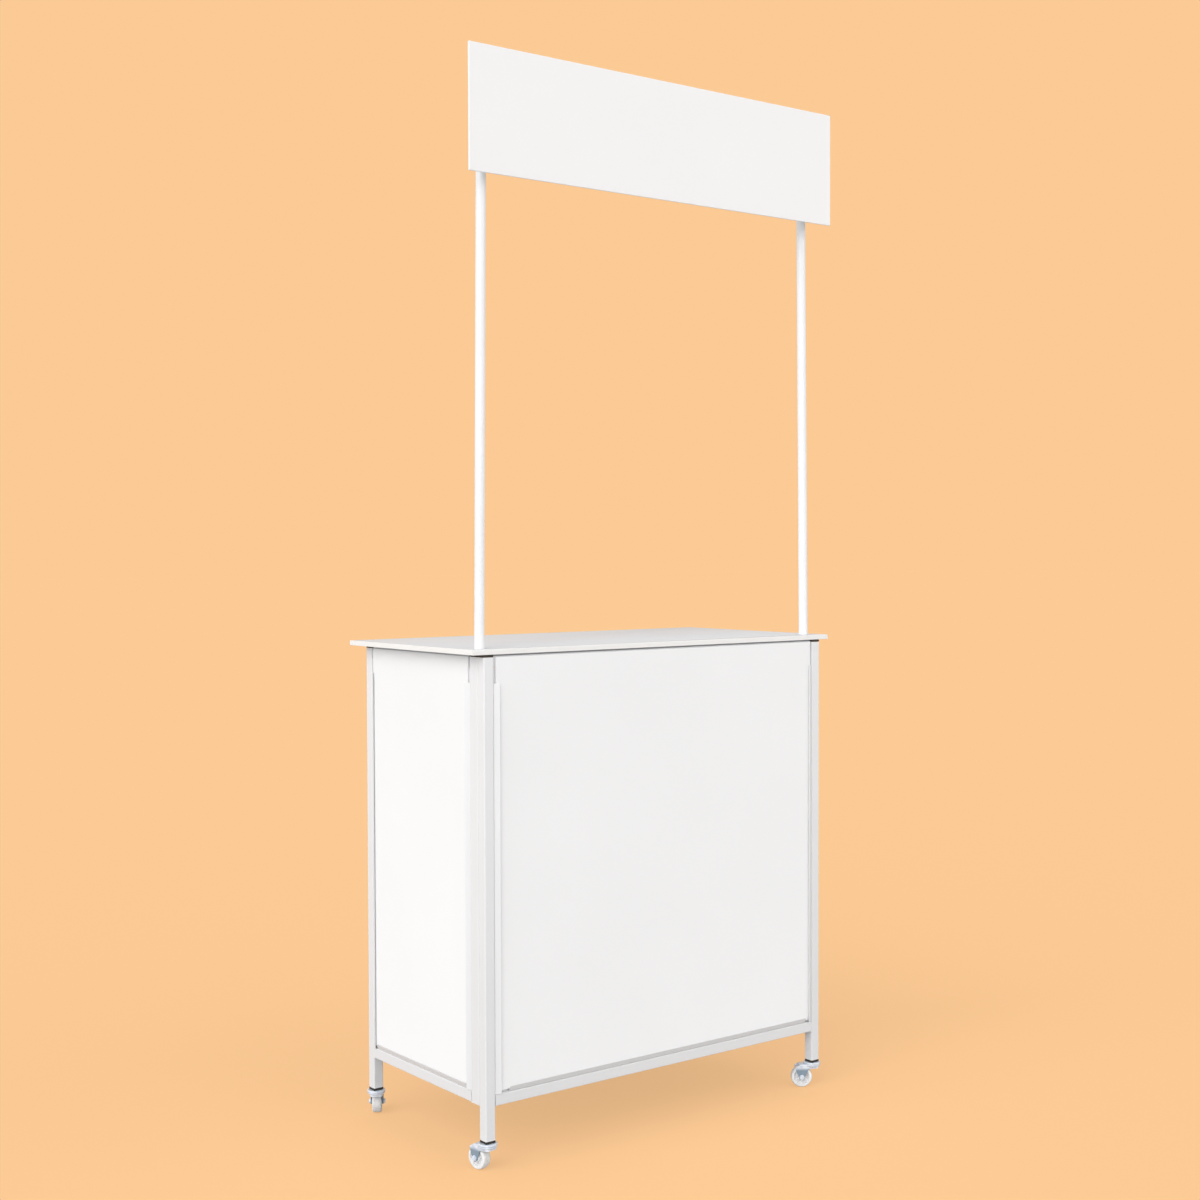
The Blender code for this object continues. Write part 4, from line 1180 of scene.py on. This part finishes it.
def fork_pressing():
    """The fork at the origin, trailing along +X: an arm, two narrowing cheeks and a nose."""
    inner = 0.00975
    sheet = 0.0020
    middle = inner + sheet / 2
    toe = 0.0330
    nose = -0.0115
    top = CROWN_TOP - 0.0002 - sheet / 2
    heel = CROWN_TOP - 0.0077
    shoulder = CROWN_TOP - 0.0097
    foot = 0.010
    section = folded_section([(-middle, foot), (-middle, top), (middle, top), (middle, foot)], sheet, 0.0012)
    fork = skin("fork", [[(x, y, z) for y, z in section] for x in (nose + 0.0035, toe + 0.0006)])
    side = middle - 0.00003
    bend = folded_section([(0.0, -side), (nose, -side), (nose, side), (0.0, side)], sheet, 0.0018)
    joined(fork, swept("fork_nose", bend, heel, CROWN_TOP - 0.0006), "UNION")
    outline = [(0.0190, CROWN_TOP + 0.002), (-0.0130, CROWN_TOP + 0.002), (-0.0130, heel + 0.0002)]
    outline += [(0.0040, shoulder + 0.0004), (0.0072, shoulder - 0.0004), (0.0092, shoulder - 0.0020)]
    outline += arc_points((TRAIL, WHEEL_RADIUS), 0.0058, -pi * 0.87, -pi * 0.13, 24)
    outline += [(0.0328, shoulder - 0.0020), (0.0336, shoulder), (toe, CROWN_TOP - 0.0062)]
    blank = flat_piece("fork_blank", [outline], 0.030, 0.0, 0)
    stand(blank, (0.0, 0.0, 0.0), (1, 0, 0), (0, 0, 1))
    joined(fork, blank, "INTERSECT")
    rim = CAP_RADIUS - 0.0004
    crown = [(0.0, CROWN_TOP), (rim - 0.0004, CROWN_TOP), (rim, CROWN_TOP - 0.0004)]
    crown += arc_points((rim - 0.0016, CROWN_BOTTOM + 0.0016), 0.0016, 0.0, -pi / 2, 6)
    crown += [(0.0105, CROWN_BOTTOM), (0.0, CROWN_BOTTOM)]
    joined(fork, turn_profile("fork_crown", crown), "UNION")
    pin = [(0.0, 0.1), (0.0043, 0.1), (0.0043, 0.0), (0.0, 0.0)]
    joined(fork, turn_profile("fork_pin_hole", pin, 32), "DIFFERENCE")
    bore = turn_profile("fork_axle_hole", [(0.0, 0.03), (0.0033, 0.03), (0.0033, -0.03), (0.0, -0.03)], 32)
    stand(bore, (TRAIL, 0.0, WHEEL_RADIUS), (1, 0, 0), (0, 0, 1))
    joined(fork, bore, "DIFFERENCE")
    return fork


def hexagon(radius, thickness):
    """A hexagon with its corners chamfered, standing on the origin."""
    flat = flat_piece("hexagon", [round_loop(radius, 6)], thickness, 0.0002, 1)
    stand(flat, (0.0, 0.0, thickness / 2))
    cone = turn_profile(
        "hexagon_cone",
        [(0.0, thickness * 1.01), (radius * 0.86, thickness * 1.01), (radius * 1.06, thickness * 0.72),
         (radius * 1.06, -0.001), (0.0, -0.001)], 48)
    return joined(flat, cone, "INTERSECT")


def axle_bolt():
    """The axle at the origin along Z: shank, washers, head, nut and thread end."""
    cheek = 0.01175
    face = cheek + 0.0003
    end = face + 0.0035
    profile = [(0.0, end - 0.0004), (0.0022, end - 0.0004), (0.0028, end - 0.0009)]
    profile += [(0.0028, face), (0.0030, face - 0.0002), (0.0030, -face), (0.0028, -face - 0.0004)]
    profile += [(0.0028, -end + 0.0006), (0.0024, -end), (0.0, -end)]
    bolt = turn_profile("axle", profile, 32)
    washer = 0.0007
    for sign in (-1, 1):
        disc = turn_profile("washer", [(0.0020, washer), (0.0052, washer), (0.0052, 0.0), (0.0020, 0.0)], 40)
        stand(disc, (0.0, 0.0, face if sign > 0 else -face - washer))
        joined(bolt, disc, "UNION")
        block = hexagon(NUT_RADIUS, NUT_HEIGHT)
        stand(block, (0.0, 0.0, sign * (face + washer - 0.00005)), (1, 0, 0), (0, sign, 0))
        joined(bolt, block, "UNION")
    return bolt


def rolled_in(tree, where):
    """The mask of the grime rolled into the tread."""
    tread = add_node(tree, "ShaderNodeAttribute", "Fac", {}, attribute_name="tread")
    specks = spread(tree, add_noise(tree, where, 420.0, 5.0, 0.65), 0.15, 0.85, 0.4, 0.7)
    return combine(tree, "MULTIPLY", tread, specks)


# White nylon, waxy, that lets a little light in.
NYLON = make_finish(
    "nylon",
    {"Roughness": 0.4, "Subsurface Weight": 0.08, "Subsurface Radius": (0.002, 0.002, 0.0018)},
    (tuple(value * 0.96 for value in NYLON_WHITE), NYLON_WHITE), (70.0, 3.0),
    ((70.0, 3.0), 0.34, 0.5), [((1500.0, 2.0), 0.00002)], layers=[(rolled_in, NYLON_GRIME)])

# Ribs spaced evenly round a hub.
RIB_TREE = node_tree(
    "hub_ribs",
    [("Wheel", "Geometry"), ("Ribs", "Int"), ("Rib Middle", "Float"), ("Rib Size", "Vector")],
    "Ribbed Wheel",
    {
        "circle": ("GeometryNodeMeshCircle",),
        "rib": ("GeometryNodeMeshCube",),
        "placed": ("GeometryNodeInstanceOnPoints",),
        "aim": ("FunctionNodeAlignRotationToVector", {"axis": "X"}),
        "spot": ("GeometryNodeInputPosition",),
        "whole": ("GeometryNodeJoinGeometry",),
    },
    ["given.Ribs > circle.Vertices", "given.Rib Middle > circle.Radius", "given.Rib Size > rib.Size",
     "circle.Mesh > placed.Points", "rib.Mesh > placed.Instance", "spot.Position > aim.Vector",
     "aim.Rotation > placed.Rotation", "solid.Geometry > whole.Geometry",
     "given.Wheel > whole.Geometry", "whole.Geometry > coated.Geometry"])


def wheel_moulding():
    """The wheel at the origin, its axle along Z: tread, web, ribs and hub."""
    tread = 0.0085
    rim = 0.0152
    hub = 0.0080
    half_hub = 0.00925
    web = 0.0035
    half = [(0.0033, half_hub - 0.0003), (0.0036, half_hub), (hub - 0.0006, half_hub)]
    half += [(hub, half_hub - 0.0006), (hub + 0.0002, web + 0.0008), (hub + 0.0010, web)]
    half += [(rim - 0.0010, web), (rim - 0.0002, web + 0.0008), (rim, tread - 0.0003), (rim + 0.0003, tread)]
    half += [(0.0182, tread), (0.0192, tread - 0.0004), (0.0200, tread - 0.0013), (0.0206, tread - 0.0029)]
    half += [(0.0209, tread - 0.0045), (WHEEL_RADIUS, tread * 0.30), (WHEEL_RADIUS, 0.0004)]
    profile = half + [(radius, -height) for radius, height in reversed(half)]
    wheel = turn_profile("wheel", profile, 96)
    rib_size = (rim - hub + 0.0006, 0.0014, (tread - 0.0012) * 2)
    grow(wheel, RIB_TREE, WHEEL_RIBS, (hub + rim) / 2, rib_size, NYLON)
    worn = wheel.data.attributes.new("tread", "FLOAT", "POINT")
    for i, vertex in enumerate(wheel.data.vertices):
        out = hypot(vertex.co.x, vertex.co.y)
        worn.data[i].value = min(1.0, max(0.0, (out - 0.0196) / 0.0010))
    return wheel


fork_master = shade(fork_pressing(), radians(34))
bolt_master = shade(axle_bolt(), radians(34))
wheel_master = shade(wheel_moulding(), radians(34))


def copy_of(master, name):
    """A fresh object with its own copy of a mesh."""
    return bpy.data.objects.new(name, master.data.copy())


for corner in CORNERS:
    pivot = caster_stem(corner)
    centre = middle_of(f"{corner}_wheel")
    trail = Vector((centre.x - pivot.x, centre.y - pivot.y, 0.0)).normalized()
    side_way = Vector((-trail.y, trail.x, 0.0))
    fork = stand(copy_of(fork_master, f"{corner}_fork_pressing"), pivot, trail, side_way)
    fit(fork, FORK_PLATE, "zinc", f"{corner}_swivel", f"{corner}_caster_fork")
    bolt = stand(copy_of(bolt_master, f"{corner}_axle_bolt"), centre, trail, (0, 0, 1))
    fit(bolt, ZINC_PLATE, "zinc", f"{corner}_swivel", f"{corner}_caster_axle")
    wheel = stand(copy_of(wheel_master, f"{corner}_wheel_moulding"), centre, trail, (0, 0, 1))
    fit(wheel, NYLON, "white_nylon", f"{corner}_wheel", f"{corner}_wheel")
for master in (fork_master, bolt_master, wheel_master, pan_head):
    bpy.data.objects.remove(master, do_unlink=True)
